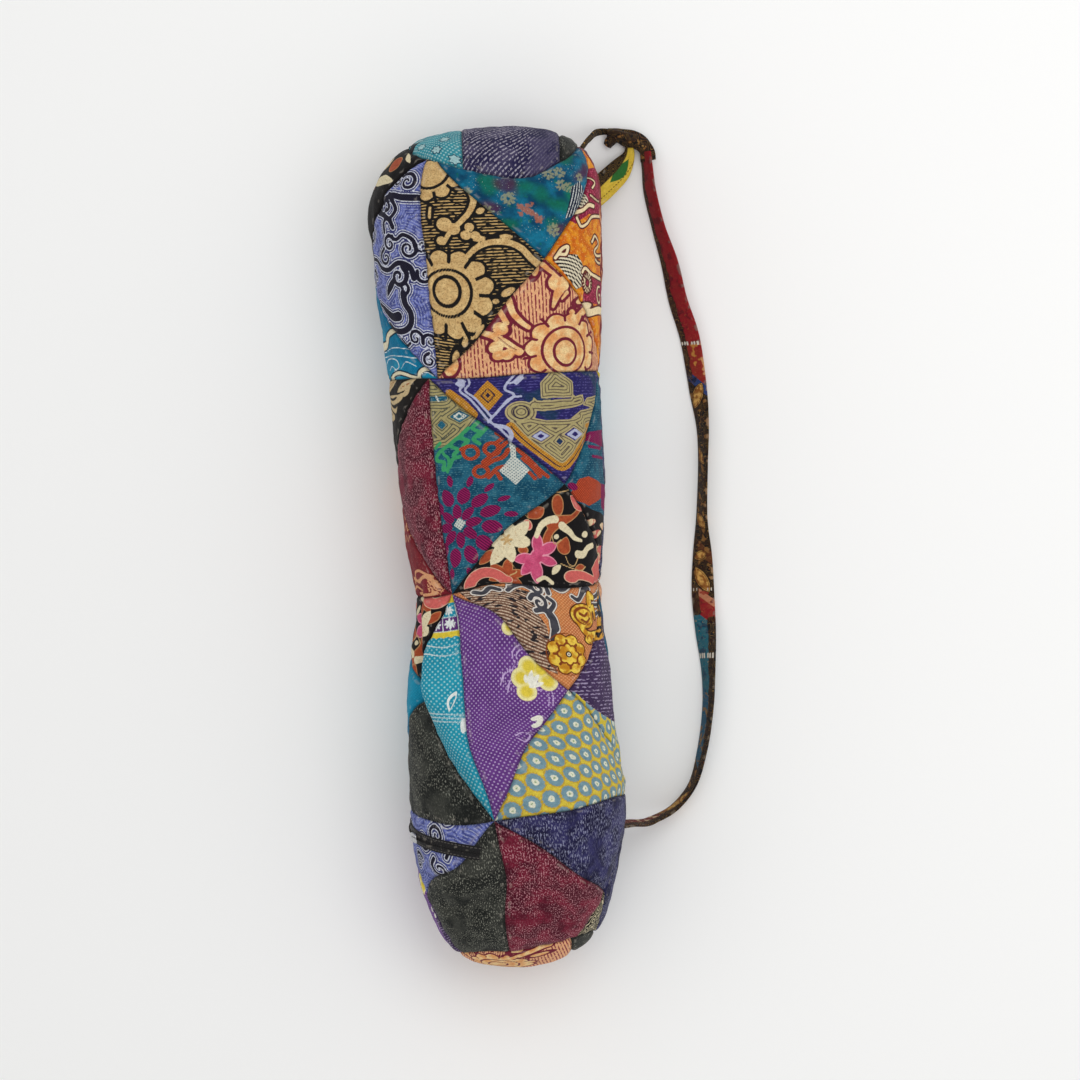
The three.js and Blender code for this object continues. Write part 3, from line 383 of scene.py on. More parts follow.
# Printed figures
class Print:
    """Flat cloth in millimetres. Each figure is a field that says how far inside it a point lies, so
    that figures are joined by the larger value and cut by the smaller one."""

    def __init__(self, u, v):
        self.u, self.v = u, v

    def around(self, x, y, turn=0.0, squash=1.0):
        """Distance and angle about a point, with the cloth's second direction stretched by squash."""
        dx, dy = self.u - x, (self.v - y) * squash
        return np.hypot(dx, dy), np.arctan2(dy, dx) - math.radians(turn)

    def oval(self, x, y, wide, high=None, turn=0.0):
        """One less the point's distance in half axes, times the shorter half axis."""
        high = high or wide
        c, s = math.cos(math.radians(turn)), math.sin(math.radians(turn))
        dx, dy = self.u - x, self.v - y
        return (1 - np.hypot((dx * c + dy * s) / wide, (dy * c - dx * s) / high)) * min(wide, high)

    def ring(self, x, y, radius, half, squash=1.0):
        """Half the line's width less the distance to the circle."""
        return half - np.abs(self.around(x, y, 0, squash)[0] - radius)

    def flower(self, x, y, radius, lobes, notch, turn=0.0, squash=1.0):
        """A round edge with lobes: it dips by notch where the lobes meet, as an absolute cosine does."""
        away, angle = self.around(x, y, turn, squash)
        return radius - notch * (1 - np.abs(np.cos(angle * lobes / 2))) - away

    def rays(self, x, y, inner, outer, count, half, turn=0.0, squash=1.0):
        """Short bars between two radii, as far apart in angle as count says."""
        away, angle = self.around(x, y, turn, squash)
        sector = 2 * math.pi / count
        off = (np.mod(angle + sector / 2, sector) - sector / 2) * away
        return np.minimum(half - np.abs(off), np.minimum(away - inner, outer - away))

    def petals(self, x, y, inner, outer, count, half, turn=0.0, squash=1.0):
        """Leaf shapes between two radii: their half width is a sine along them."""
        away, angle = self.around(x, y, turn, squash)
        sector = 2 * math.pi / count
        off = (np.mod(angle + sector / 2, sector) - sector / 2) * np.maximum(away, 1e-6)
        share = (away - inner) / (outer - inner)
        wide = half * np.sqrt(np.clip(np.sin(math.pi * np.clip(share, 0, 1)), 0, 1))
        beyond = np.maximum(np.maximum(inner - away, away - outer), 0)
        return wide - np.hypot(off, beyond) - 0.01

    def leaf(self, x0, y0, x1, y1, half, bend=0.0):
        """A leaf between two points: its half width is a root of a sine along it, and its spine bows
        sideways by bend."""
        length = math.hypot(x1 - x0, y1 - y0)
        cx, cy = (x1 - x0) / length, (y1 - y0) / length
        t = np.clip(((self.u - x0) * cx + (self.v - y0) * cy) / length, 0, 1)
        along = (self.u - x0) * cx + (self.v - y0) * cy - t * length
        side = (self.v - y0) * cx - (self.u - x0) * cy - bend * 4 * t * (1 - t)
        return half * np.sin(math.pi * t) ** 0.7 - np.hypot(side, along)

    def stroke(self, points, half, last=None):
        """A brush line along a smooth curve through points: half its width, which runs evenly from
        half to last, less the distance to the curve."""
        line = smooth_line(np.array(points, float))
        reach = np.linspace(half, half if last is None else last, len(line))
        best = np.full(np.shape(self.u), -1e3)
        for start, end, wide0, wide1 in zip(line[:-1], line[1:], reach[:-1], reach[1:]):
            step = end - start
            t = ((self.u - start[0]) * step[0] + (self.v - start[1]) * step[1]) / max(step @ step, 1e-9)
            t = np.clip(t, 0, 1)
            off = np.hypot(self.u - start[0] - t * step[0], self.v - start[1] - t * step[1])
            best = np.maximum(best, wide0 + (wide1 - wide0) * t - off)
        return best

    def curl(self, x, y, radius, turns, half, start, way=1, last=None):
        """A brush line wound inwards round a point from a starting angle."""
        t = np.linspace(0, 1, max(int(turns * 9), 4))
        angle = np.radians(start) + way * 2 * math.pi * turns * t
        reach = radius * (1 - 0.85 * t)
        points = np.stack([x + reach * np.cos(angle), y + reach * np.sin(angle)], -1)
        return self.stroke(points, half, last)

    def shape(self, *corners):
        """A straight-sided figure: the distance to its nearest side, positive inside."""
        ring = np.array(corners, float)
        best = np.full(np.shape(self.u), 1e9)
        inside = np.zeros(np.shape(self.u), bool)
        for (x0, y0), (x1, y1) in zip(ring, np.roll(ring, -1, axis=0)):
            t = ((self.u - x0) * (x1 - x0) + (self.v - y0) * (y1 - y0)) / ((x1 - x0) ** 2 + (y1 - y0) ** 2)
            t = np.clip(t, 0, 1)
            best = np.minimum(best, np.hypot(self.u - x0 - t * (x1 - x0), self.v - y0 - t * (y1 - y0)))
            crosses = ((y0 > self.v) != (y1 > self.v)) & (
                self.u < (x1 - x0) * (self.v - y0) / ((y1 - y0) if y1 != y0 else 1e-9) + x0
            )
            inside ^= crosses
        return np.where(inside, best, -best)

    def diamond(self, x, y, wide, high):
        """One less the sum of the shares of both half axes, times the shorter one."""
        return (1 - np.abs(self.u - x) / wide - np.abs(self.v - y) / high) * min(wide, high) * 0.8

    def noise(self, wave, seed, stretch=1.0):
        """Smooth unevenness of the flat cloth, between about -1 and 1."""
        flat = np.stack([self.u / stretch, self.v, np.zeros(np.shape(self.u))], -1)
        return ripple(flat, wave, seed, 9)


def smooth_line(points, per=5):
    """A curve through points: between two of them, a cubic whose slopes follow their neighbours."""
    if len(points) < 3:
        return points
    before = np.concatenate([[2 * points[0] - points[1]], points[:-1]])
    after = np.concatenate([points[1:], [2 * points[-1] - points[-2]]])
    slope = (after - before) / 2
    t = (np.arange(per) / per)[None, :, None]
    p, q = points[:-1, None], points[1:, None]
    a, b = slope[:-1, None], slope[1:, None]
    curve = p * (2 * t**3 - 3 * t**2 + 1) + q * (3 * t**2 - 2 * t**3) + a * (t**3 - 2 * t**2 + t) + b * (t**3 - t**2)
    return np.concatenate([curve.reshape(-1, 2), points[-1:]])


def join(*figures):
    return np.maximum.reduce(figures)


def cut(figure, *holes):
    return np.minimum.reduce([figure] + [-hole for hole in holes])


def ink_gold_flower(p):
    """Gold flowers, vines and lobes, and the dark lines on them."""
    figure = join(
        p.flower(14, 208, 33.5, 12, 5, 8),
        p.flower(8, 307, 25, 10, 4, 10),
        p.stroke([(37, 291), (39, 281), (35, 271), (28, 263), (20, 255), (15, 247)], 2.4, 1.5),
        p.oval(17, 262, 5.4),
        p.oval(23, 258, 4.6),
        p.oval(13.5, 249, 3.4),
        p.oval(34, 259, 3.3),
        p.oval(31, 252.5, 3.7),
        p.oval(37.5, 252, 3.3),
        p.stroke([(31, 236), (38, 242.5), (48, 246), (60, 245), (69, 240), (75, 232), (81, 226)], 2.0, 2.9),
        p.oval(43, 272, 3.4, 2.4, 35),
        p.oval(40, 249, 4.4, 2.0, 10),
        p.oval(59, 250, 4.8, 2.0, -5),
        p.oval(57, 206, 5.5, 2.8, 25),
        p.stroke([(8, 276), (7, 268)], 1.0),
        p.oval(16, 158, 2.5, 7, -12),
        p.oval(24, 172, 2.2, 3.4, -20),
        p.oval(48, 200, 2.6, 1.8),
        p.stroke([(18, 181), (30, 176), (38, 184)], 1.2),
    )
    line = join(
        p.ring(14, 208, 17.6, 1.2),
        p.ring(14, 209, 9.6, 1.3, 0.86),
        p.rays(14, 208, 22.5, 36, 12, 1.35, 23),
        p.ring(8, 307, 14.5, 1.3),
        p.rays(8, 307, 18, 28, 10, 1.3, 28),
    )
    return [figure, line]


def ink_maroon_flower(p):
    """The same cloth in peach: a pale flower, lobed leaves and ribbons, and the maroon lines on them."""
    figure = join(
        p.flower(101, 157, 35, 11, 4.5, 10, 1.2),
        p.oval(93, 211, 6.2),
        p.oval(100.5, 210.5, 5.6),
        p.stroke([(97, 207), (93, 200), (90, 192)], 4.6, 1.2),
        p.stroke([(103, 203), (98, 198)], 1.6, 0.8),
        p.stroke([(112, 181), (122, 187.5), (136, 191), (152, 190)], 3.2, 2.6),
        p.oval(119, 196, 6.5, 2.4, 12),
        p.oval(108, 187, 3.0, 2.2),
        p.stroke([(57, 200), (59.5, 190), (65, 182), (70, 177)], 2.4, 1.6),
        p.stroke([(50, 193), (53, 187), (55, 183)], 2.0, 1.6),
        p.oval(50, 180, 6.0, 4.2, -40),
        p.oval(46, 166, 5.2),
        p.oval(47.5, 158.5, 4.6),
        p.oval(53.5, 157.5, 4.6),
        p.stroke([(38, 179), (44, 176), (52, 169), (58, 162), (62, 158)], 2.0, 3.0),
        p.oval(12, 150, 5.5, 9, -15),
        p.oval(78, 222, 2.4, 5, -20),
        p.stroke([(84, 226), (90, 220), (96, 215)], 2.2, 1.2),
        p.oval(140, 180, 9, 3, -20),
    )
    line = join(
        p.ring(100, 156, 21.5, 1.25, 1.12),
        p.ring(99, 155, 10.8, 1.3, 1.0),
        p.rays(101, 157, 27, 38, 11, 1.3, 26, 1.2),
        p.stroke([(48, 174), (54, 166), (60, 160)], 0.6),
    )
    return [figure, line]


def ink_cloud_scroll(p):
    """Cloud bands: brush lines that end in curls. Their edges are drawn as rows of beads."""
    band = join(
        p.curl(504, 299, 8.5, 1.25, 2.2, 120, -1, 1.2),
        p.curl(493, 301, 6.5, 1.1, 1.8, 30, 1, 1.2),
        p.stroke([(476, 283), (488, 288), (500, 286), (516, 285)], 2.6, 3.2),
        p.stroke([(463, 281), (468, 275), (477, 273), (487, 268), (490, 262)], 2.4),
        p.curl(480, 279, 9.5, 0.9, 2.0, 200, -1),
        p.stroke([(486, 289), (492, 278), (488, 270), (481, 268), (480, 258)], 2.6, 1.6),
        p.curl(485, 249, 6.8, 1.2, 1.9, 60, 1, 1.1),
        p.stroke([(485, 256), (492, 252), (499, 255.5), (507, 251), (509, 243)], 1.8, 2.2),
        p.curl(502, 244, 7.6, 1.3, 2.0, 20, -1, 1.1),
        p.curl(478, 238, 7.5, 1.1, 1.9, 100, 1, 1.1),
        p.curl(513.5, 246, 6.0, 1.0, 1.6, 180, 1, 1.0),
        p.stroke([(448, 238), (462, 236), (470, 230), (480, 228), (492, 233), (502, 229), (505, 220)], 2.0, 2.8),
        p.curl(491, 222, 9.0, 1.3, 2.6, 60, -1, 1.4),
        p.curl(495, 213, 6.0, 1.1, 2.0, 250, 1, 1.1),
        p.leaf(474, 206, 489, 222, 3.4, 1.5),
        p.curl(514, 222, 7.0, 1.2, 2.0, 150, 1, 1.1),
        p.stroke([(494, 208), (494, 200), (498, 192), (496, 183), (488, 178), (476, 179), (468, 184)], 3.6, 2.6),
        p.stroke([(455, 201), (466, 196), (476, 190), (484, 190)], 2.2, 4.4),
        p.curl(499, 172, 7.4, 1.25, 2.0, 330, 1, 1.1),
        p.curl(512, 170, 6.6, 1.1, 1.9, 200, -1, 1.1),
        p.curl(510, 154, 6.0, 1.1, 1.8, 90, 1, 1.1),
        p.stroke([(493, 168), (488, 166), (484, 172)], 1.6),
        p.curl(447, 222, 8.0, 1.2, 2.0, 10, 1, 1.1),
        p.curl(436, 240, 7.0, 1.2, 2.0, 100, -1, 1.1),
        p.curl(455, 258, 7.0, 1.1, 1.8, 220, 1, 1.1),
        p.curl(478, -212, 8.5, 1.3, 2.0, 60, 1, 1.1),
        p.curl(465, -226, 7.5, 1.2, 1.9, 200, -1, 1.1),
        p.curl(462, -250, 8.0, 1.2, 2.0, 120, 1, 1.1),
        p.curl(446, -232, 7.5, 1.2, 1.9, 330, -1, 1.1),
        p.stroke([(438, -212), (450, -208), (462, -214), (470, -206)], 1.8),
        p.curl(430, -250, 8.0, 1.2, 2.0, 20, 1, 1.1),
        p.stroke([(470, -240), (478, -232), (490, -236)], 1.6),
        p.curl(412, -225, 8.0, 1.2, 2.0, 200, 1, 1.1),
    )
    return [band]


def ink_blossom(p):
    """Blurred green and dark red blots, dull gold rosettes, a rust spray, and a fan of pale stripes."""
    wobble = 1.2 * p.noise(9, 21)
    green = wobble + join(
        p.oval(51, 294, 7, 9, 20),
        p.oval(77, 290, 8, 5, -20),
        p.oval(88, 283, 7, 5, -35),
        p.oval(103, 274, 11, 5, -20),
        p.oval(62, 260, 6, 5),
        p.oval(98, 259, 5, 4),
        p.oval(115, 282, 6, 8),
        p.oval(122, 316, 9, 5, 30),
    )
    wine = wobble + join(
        p.oval(64, 293, 8, 7, -25),
        p.oval(103, 255, 6, 4, 30),
        p.oval(48, 274, 7, 6),
        p.oval(135, 300, 14, 5, 25),
    )
    gold = p.noise(3, 5) * 0.6 + join(
        p.rays(107, 301, 1.2, 5.5, 7, 1.1),
        p.rays(97, 300, 1.0, 5.0, 7, 1.0),
        p.rays(106, 290, 1.0, 4.8, 7, 1.0),
        p.rays(113, 288, 1.2, 4.5, 6, 1.0),
        p.rays(97, 254, 1.2, 5.5, 8, 1.2),
        p.rays(64, 281, 1.2, 5.5, 8, 1.2),
        p.rays(47, 271, 1.2, 5.5, 8, 1.1),
        p.rays(128, 296, 1.0, 4.6, 7, 1.0),
        p.rays(92, 312, 1.0, 4.8, 7, 1.0),
        p.rays(34, 288, 1.0, 4.5, 7, 1.0),
    )
    rust = p.noise(3, 8) * 0.7 + join(
        p.stroke([(72, 274), (78, 270), (84, 266)], 2.6, 2.0),
        p.oval(86, 263, 3.6, 3.0),
        p.oval(79, 275, 3.0, 2.0),
        p.oval(72, 268, 2.2),
    )
    fan = p.shape((108, 262), (119, 266), (132, 282), (127, 293), (116, 288))
    return [green, wine, gold, join(rust), fan]


def ink_swirl(p):
    """Crimson fields with a cream edge, cream swirls on the orange, and fans of stripes."""
    crimson = join(
        p.shape((112, 262), (119, 258), (124, 261), (136, 266), (150, 264), (176, 264), (176, 305), (125, 305)),
        p.shape((121, 219), (128, 216), (142, 213), (176, 211), (176, 190), (122, 195)),
    )
    cream = join(
        p.stroke([(118, 267), (128, 269), (136, 273), (146, 272)], 1.5),
        p.stroke([(121, 263), (124, 256), (132, 258), (140, 263), (152, 264), (176, 263)], 1.1),
        p.stroke([(95, 231), (102, 238), (108, 240), (105, 234), (99, 234)], 1.2),
        p.stroke([(121, 219), (126, 222), (140, 216), (176, 212)], 1.2),
        p.stroke([(138, 243), (146, 248), (153, 241), (142, 236), (150, 232), (176, 233)], 1.0),
        p.stroke([(145, 229), (156, 226), (176, 227)], 0.9),
        p.stroke([(119, 189), (132, 186), (150, 188), (176, 186)], 3.0),
        p.oval(127, 192, 8, 2.4),
        p.curl(154, 199, 9, 1.1, 0.9, 60, 1),
        p.stroke([(128, 296), (140, 298), (152, 292), (146, 287)], 0.8),
        p.stroke([(140, 281), (158, 276), (176, 278)], 0.7),
        p.rays(128, 210, 3.5, 8, 15, 0.5),
    )
    fans = join(
        p.shape((92, 230), (100, 235), (117, 233), (124, 222), (121, 208), (113, 205)),
        p.shape((121, 265), (131, 270), (137, 276), (128, 292), (116, 280)),
    )
    stripes = np.minimum(fans, 0.75 - np.abs(np.mod(p.around(96, 186, 0, 1)[0], 2.9) - 1.45))
    dark = np.minimum(
        p.noise(6, 9, 3) * 3 - 1.2,
        p.shape((134, 246), (176, 247), (176, 222), (140, 226)),
    )
    return [crimson, cream, fans, stripes, join(dark)]


def ink_wave_cloud(p):
    """A cream wave band with its dark edge, and thin white curls on the blue."""
    band = join(
        p.stroke([(446, 136), (458, 141), (474, 144.5), (489, 141), (498, 139)], 1.3),
        p.stroke([(497, 138), (500, 144), (506, 147), (512, 145), (520, 139)], 1.7),
        p.stroke([(472, 179), (464, 176), (458, 170), (446, 167), (430, 166)], 1.8, 3.4),
        p.stroke([(410, 141), (425, 147), (440, 141)], 1.6),
        p.stroke([(400, 185), (415, 190), (428, 182)], 1.8, 3.0),
    )
    thread = join(
        p.stroke([(436, 157.5), (470, 158.5), (502, 155)], 0.45),
        p.stroke([(440, 150), (456, 156), (472, 155), (475, 149), (466, 146)], 0.5),
        p.stroke([(455, 147), (462, 150), (470, 147)], 0.4),
        p.stroke([(478, 148), (486, 153), (497, 149)], 0.4),
        p.stroke([(500, 142), (506, 144), (512, 141)], 0.4),
        p.stroke([(420, 172), (440, 162), (470, 165), (490, 163)], 0.4),
        p.stroke([(405, 160), (420, 156), (432, 160)], 0.4),
        p.curl(415, 175, 9, 1.4, 0.45, 20, 1),
        p.curl(398, 152, 8, 1.3, 0.45, 90, -1),
    )
    return [band, thread]


def ink_bold_leaf(p):
    """Bold cream and tan leaves with black between them, and narrow bands."""
    wave = p.v + 2.5 * p.noise(26, 4)
    bands = np.minimum(1.3 - np.abs(np.mod(wave, 4.6) - 2.3), p.shape((420, 126), (482, 127), (470, 112), (440, 108)))
    leaves = join(
        p.leaf(502, 139, 476, 129, 3.2),
        p.leaf(470, 139, 440, 128, 4.5),
        p.leaf(496, 133, 486, 125, 2.4),
        p.leaf(488, 128, 470, 120, 2.6),
        p.leaf(430, 139, 400, 128, 5),
        p.leaf(395, 137, 370, 136, 3.6),
        p.stroke([(425, 110), (445, 108), (462, 109)], 2.4),
        p.stroke([(380, 126), (400, 121), (415, 113)], 2.2, 1.2),
    )
    return [join(bands, leaves)]


def ink_scribble(p):
    """Cream scribbled leaves: crowded narrow curves."""
    wave = p.noise(13, 31, 1.4)
    thread = 0.17 - np.abs(np.mod(wave * 2.1, 1.0) - 0.5)
    return [thread * 5]


def ink_garden(p):
    """Cream, pink, rust and coral flowers, leaves and branches on black."""
    cream = join(
        p.oval(60, -3, 6.8, 4.6, 5),
        p.leaf(50, -2, 67, 13, 4.4, -1.5),
        p.leaf(50, -2, 52, -19, 4.4),
        p.leaf(49, -2, 36, -20, 4.6, 1),
        p.leaf(50, 0, 39, -6, 4.0),
        p.leaf(50, -1, 55, 10, 3.6),
        p.stroke([(71.5, 2), (76, 11), (82, 16), (88, 18)], 1.6, 3.2),
        p.stroke([(94, 13), (100, 9), (105, 4), (113, 2)], 3.6, 1.2),
        p.oval(118, 7, 4.4, 2.6, 5),
        p.stroke([(108, -9), (115, -9), (121, -4), (129, -2)], 3.2, 2.2),
        p.leaf(82, -26, 90, -18, 2.6, 0.6),
        p.oval(88, 4, 2.4, 1.8, 30),
        p.stroke([(70, -32), (76, -29), (82, -33)], 1.6),
        p.leaf(142, 20, 160, 12, 3.2),
        p.leaf(30, 60, 44, 66, 3.4),
        p.oval(150, 44, 5, 3),
        p.leaf(448, 299, 486, 301, 5.0, 1.5),
        p.oval(456, 318, 9, 6, 20),
        p.leaf(430, 308, 410, 322, 4.4),
        p.petals(395, 312, 1, 12, 6, 3.2, 10),
        p.leaf(500, 318, 484, 330, 2.6),
    )
    pink = join(
        p.leaf(71, -12, 73, 5, 4.4),
        p.leaf(72, -11, 88, -1, 4.4),
        p.leaf(72, -14, 87, -17, 4.2),
        p.leaf(70, -14, 69, -35, 5.2),
        p.leaf(70, -14, 57, -29, 4.2),
        p.leaf(70, -14, 53, -17, 4.4),
        p.oval(71, -13, 5.2),
    )
    rust = join(
        p.oval(91, 30, 4.4, 8.2, -4),
        p.leaf(67, 16, 79, 26, 4.2),
        p.stroke([(78, -3), (82, 6), (88, 12), (97, 17), (106, 22), (114, 28)], 2.6, 1.2),
        p.stroke([(84, 12), (92, 18), (102, 20)], 3.2, 2.0),
        p.oval(94, -4, 5.6, 5.0),
        p.leaf(94, -6, 97, 4, 3.6),
        p.leaf(104, -22, 116, -19, 3.0),
        p.leaf(28, -18, 40, -9, 3.0),
        p.petals(46, -30, 1, 14, 6, 3.4, 15),
        p.leaf(140, -2, 156, 4, 3.4),
        p.leaf(120, 22, 134, 30, 3.0),
        p.oval(478, 317, 7.5),
        p.leaf(440, 300, 424, 296, 3.4),
        p.oval(440, 326, 4, 3),
        p.leaf(380, 326, 366, 312, 4.0),
        p.oval(61, -9, 3.0, 2.4),
    )
    coral = join(
        p.oval(101, -27, 7.6, 4.6),
        p.stroke([(101, -26), (112, -26), (122, -28), (134, -31)], 3.8, 2.4),
        p.shape((128, -21), (136, -15), (150, -10), (172, -2), (172, -34), (134, -31)),
        p.leaf(104, 38, 120, 27, 4.6, -1),
        np.minimum(p.ring(30, -40, 14, 4.2), p.v + 37),
        p.oval(66, 10, 2.8, 3.6),
        p.oval(46, -34, 3.2),
    )
    tendril = join(
        p.stroke([(95, -11), (98, -17), (104, -18), (108, -12)], 0.5),
        p.stroke([(75, 35), (72, 42), (80, 40), (86, 43), (92, 41), (103, 43)], 0.5),
        p.ring(86, 42, 3.0, 0.5),
        p.stroke([(67, 14), (65, 20), (70, 24)], 0.5),
        p.stroke([(84, 4), (86, -2), (92, 2)], 0.5),
        p.stroke([(118, -19), (112, -22), (100, -20), (90, -17)], 0.5),
        p.stroke([(50, -18), (54, -26), (48, -30)], 0.5),
        p.rays(50, -2, 0.5, 4.5, 6, 0.8),
    )
    return [cream, pink, rust, coral, tendril]


def ink_woven_mask(p):
    """A crowned guardian figure in khaki thread, an ochre diamond and border, and pale stepped lines."""
    khaki = join(
        p.shape((95, 142), (112, 131), (112, 119), (84, 119), (84, 131)),
        p.stroke([(78, 113), (88, 112), (97, 113), (110, 114), (121, 116)], 3.6),
        p.oval(68, 108, 10.5, 8.5),
        p.shape((60, 101), (74, 103), (86, 100), (107, 100), (120, 107), (176, 112), (176, 94), (138, 93),
                (124, 86), (112, 73), (97, 62), (84, 69), (70, 82), (66, 92)),
        p.shape((124, 112), (130, 117), (176, 121), (176, 104)),
        p.shape((77, 113), (78, 119), (82, 114)),
        p.shape((85, 116), (88, 120), (91, 116)),
        p.shape((100, 116), (103, 120), (106, 116)),
        p.shape((110, 116), (113, 120), (116, 116)),
        p.shape((118, 116), (124, 120), (123, 114)),
    )
    gaps = join(
        p.shape((85, 109), (95, 109), (93, 106), (88, 106)),
        p.shape((99, 109), (109, 109), (106, 106), (101, 106)),
        p.stroke([(78, 104), (86, 101), (92, 103)], 0.7),
        p.stroke([(100, 103), (108, 101), (118, 103)], 0.7),
        p.stroke([(85, 117.5), (110, 117.5)], 1.1),
        p.diamond(80.5, 88, 8.5, 5.4),
        p.diamond(111, 88.5, 12, 6.2),
        p.diamond(95.5, 83, 4, 3.6),
    )
    pale = join(
        cut(p.diamond(80.5, 88, 6.6, 4.0), p.diamond(80.5, 88, 3.0, 2.0)),
        cut(p.diamond(112, 88.5, 9.6, 4.6), p.diamond(112, 88.5, 4.2, 2.2)),
        p.stroke([(22, 141), (29, 134), (26, 128), (33, 121), (40, 111), (45, 103), (52, 96), (58, 88)], 0.85),
        p.stroke([(31, 142), (33, 134), (30, 128), (37, 121), (44, 111), (49, 106), (60, 119), (69, 121)], 0.8),
        p.stroke([(68, 142), (60, 133), (58, 127), (64, 122), (55, 113), (45, 101)], 0.85),
        p.stroke([(74, 142), (66, 134), (61, 132)], 0.8),
        p.stroke([(50, 98), (57, 96), (60, 90), (58, 84)], 1.5),
        p.shape((22, 134), (27, 139), (31, 136), (26, 131)),
        p.shape((63, 133), (69, 139), (72, 136), (66, 130)),
    )
    ochre = join(
        p.diamond(46, 123, 10.5, 13),
        p.stroke([(60, 97), (66, 88), (74, 79), (84, 70), (96, 62), (108, 69), (120, 80), (134, 91)], 3.2),
        p.stroke([(18, 126), (27, 118), (35, 108)], 3.4),
        p.stroke([(128, 95), (150, 97), (176, 98)], 1.8),
    )
    line = join(
        p.ring(68, 108, 5.2, 0.55),
        cut(p.diamond(46, 123, 5.4, 6.8), p.diamond(46, 123, 4.0, 5.2)),
        p.diamond(46, 123, 1.8, 2.4),
        p.stroke([(60, 97), (66, 88), (74, 79), (84, 70), (96, 62), (108, 69), (120, 80), (134, 91)], 0.45),
    )
    khaki = cut(khaki, gaps, join(ochre) + 0.4)
    return [khaki, ochre, pale, line]


def ink_woven_leaf(p):
    """A part of the same figure, a green stepped meander, rust curls, a dotted diamond and ribbed
    magenta leaves round a pale eye."""
    khaki = cut(
        p.shape((-6, 141), (8, 138), (18, 128), (26, 118), (38, 106), (26, 92), (14, 83), (-6, 81)),
        p.stroke([(-2, 122), (14, 122)], 2.0),
        p.diamond(25, 107, 8, 5.2),
        p.diamond(10.5, 100.5, 4.2, 3.6),
    )
    pale = join(
        cut(p.diamond(25, 107, 6, 3.6), p.diamond(25, 107, 2.6, 1.6)),
        p.diamond(60, 60, 10.5, 14),
        p.stroke([(60, 92), (60, 72)], 2.2, 1.8),
        p.diamond(17, 16, 5.2, 5.4),
        p.stroke([(7, 124), (9, 120)], 0.8),
    )
    green = join(
        p.stroke([(41, 104), (34, 97), (39, 93), (34, 88), (38, 84)], 1.5),
        p.stroke([(44, 97), (38, 90)], 1.4),
        p.stroke([(31, 97), (24, 90), (30, 87), (26, 83)], 1.5),
        p.stroke([(26, 92), (16, 84), (22, 80), (18, 76)], 1.5),
        p.stroke([(17, 85), (6, 78), (3, 72), (10, 70), (8, 64), (14, 66), (17, 72), (23, 74)], 1.5),
        p.stroke([(3, 82), (8, 86)], 1.4),
        p.stroke([(10, 77), (14, 72), (12, 62)], 1.3),
    )
    rust = join(
        p.ring(31, 77, 5.4, 1.4),
        p.stroke([(24, 80), (29, 82)], 1.4),
        p.ring(46, 79, 5.0, 1.5),
        p.stroke([(49, 84), (54, 88), (50, 92)], 1.5),
        p.ring(37, 60, 5.0, 1.5),
        p.stroke([(40, 65), (46, 69), (53, 72), (57, 78)], 1.7),
        p.stroke([(39, 68), (47, 75), (56, 84)], 1.6),
        p.stroke([(42, 54), (48, 62), (54, 64)], 1.5),
        p.stroke([(50, 52), (48, 58)], 1.5),
        p.stroke([(64, 84), (72, 77), (80, 68), (88, 58)], 1.6),
        p.stroke([(63, 78), (70, 70), (78, 60), (84, 54)], 1.6),
        p.stroke([(66, 70), (73, 62), (78, 54)], 1.5),
        p.stroke([(70, 58), (74, 52)], 1.4),
        p.shape((104, 40), (112, 52), (124, 54), (150, 47), (160, 42), (150, 36), (126, 30), (112, 34)),
    )
    leaf = join(
        p.petals(16, 15, 5.5, 18, 8, 3.8, 0),
        p.petals(16, 15, 18, 33, 12, 5.2, 15),
        p.petals(16, 15, 34, 44, 16, 2.4, 4),
        p.shape((122, 84), (134, 90), (176, 92), (176, 76), (150, 78)),
        p.stroke([(118, 82), (132, 86)], 2.0),
        p.stroke([(130, 78), (150, 76)], 1.3),
        p.stroke([(132, 70), (160, 68)], 1.2),
        p.oval(106, 46, 5, 3, -20),
        p.shape((150, 48), (176, 46), (176, 22), (150, 28)),
    )
    below = np.minimum(np.interp(p.u, [98, 112, 130, 172], [48, 33, 27, 20]) - p.v, p.u - 97)
    bits = join(
        p.leaf(118, 14, 138, 18, 3.0),
        p.leaf(126, 4, 150, 9, 3.4),
        p.leaf(146, 14, 168, 12, 3.0),
        p.shape((120, -6), (140, -3), (176, -2), (176, -40), (120, -40)),
    )
    return [khaki, green, rust, leaf, pale, below, np.minimum(bits, below)]


def ink_key(p):
    """Peach stepped and plaited lines on red."""
    plait = np.minimum(
        p.shape((488, -20), (502, -26), (508, -34), (502, -37), (490, -33)),
        0.9 - np.abs(np.mod(p.u * 0.7 + p.v + 1.2 * p.noise(7, 3), 3.2) - 1.6),
    )
    lines = join(
        p.stroke([(446, -22), (458, -25), (472, -24), (484, -21), (494, -24), (502, -30)], 1.6),
        p.stroke([(446, -26), (456, -20), (470, -16), (484, -19), (496, -22)], 1.0),
        p.stroke([(450, -35), (462, -35), (478, -36), (500, -36)], 1.2),
        p.stroke([(440, -31), (448, -29), (456, -33)], 1.0),
        p.stroke([(400, -18), (412, -26), (424, -18), (436, -26)], 1.2),
        p.stroke([(392, -34), (406, -30), (420, -34), (434, -31)], 1.2),
    )
    zigzag = 0.8 - np.abs(np.mod(p.v + np.abs(np.mod(p.u, 12) - 6), 9.0) - 4.5)
    return [join(plait, lines, np.minimum(zigzag, p.noise(30, 6) * 4 - 1))]


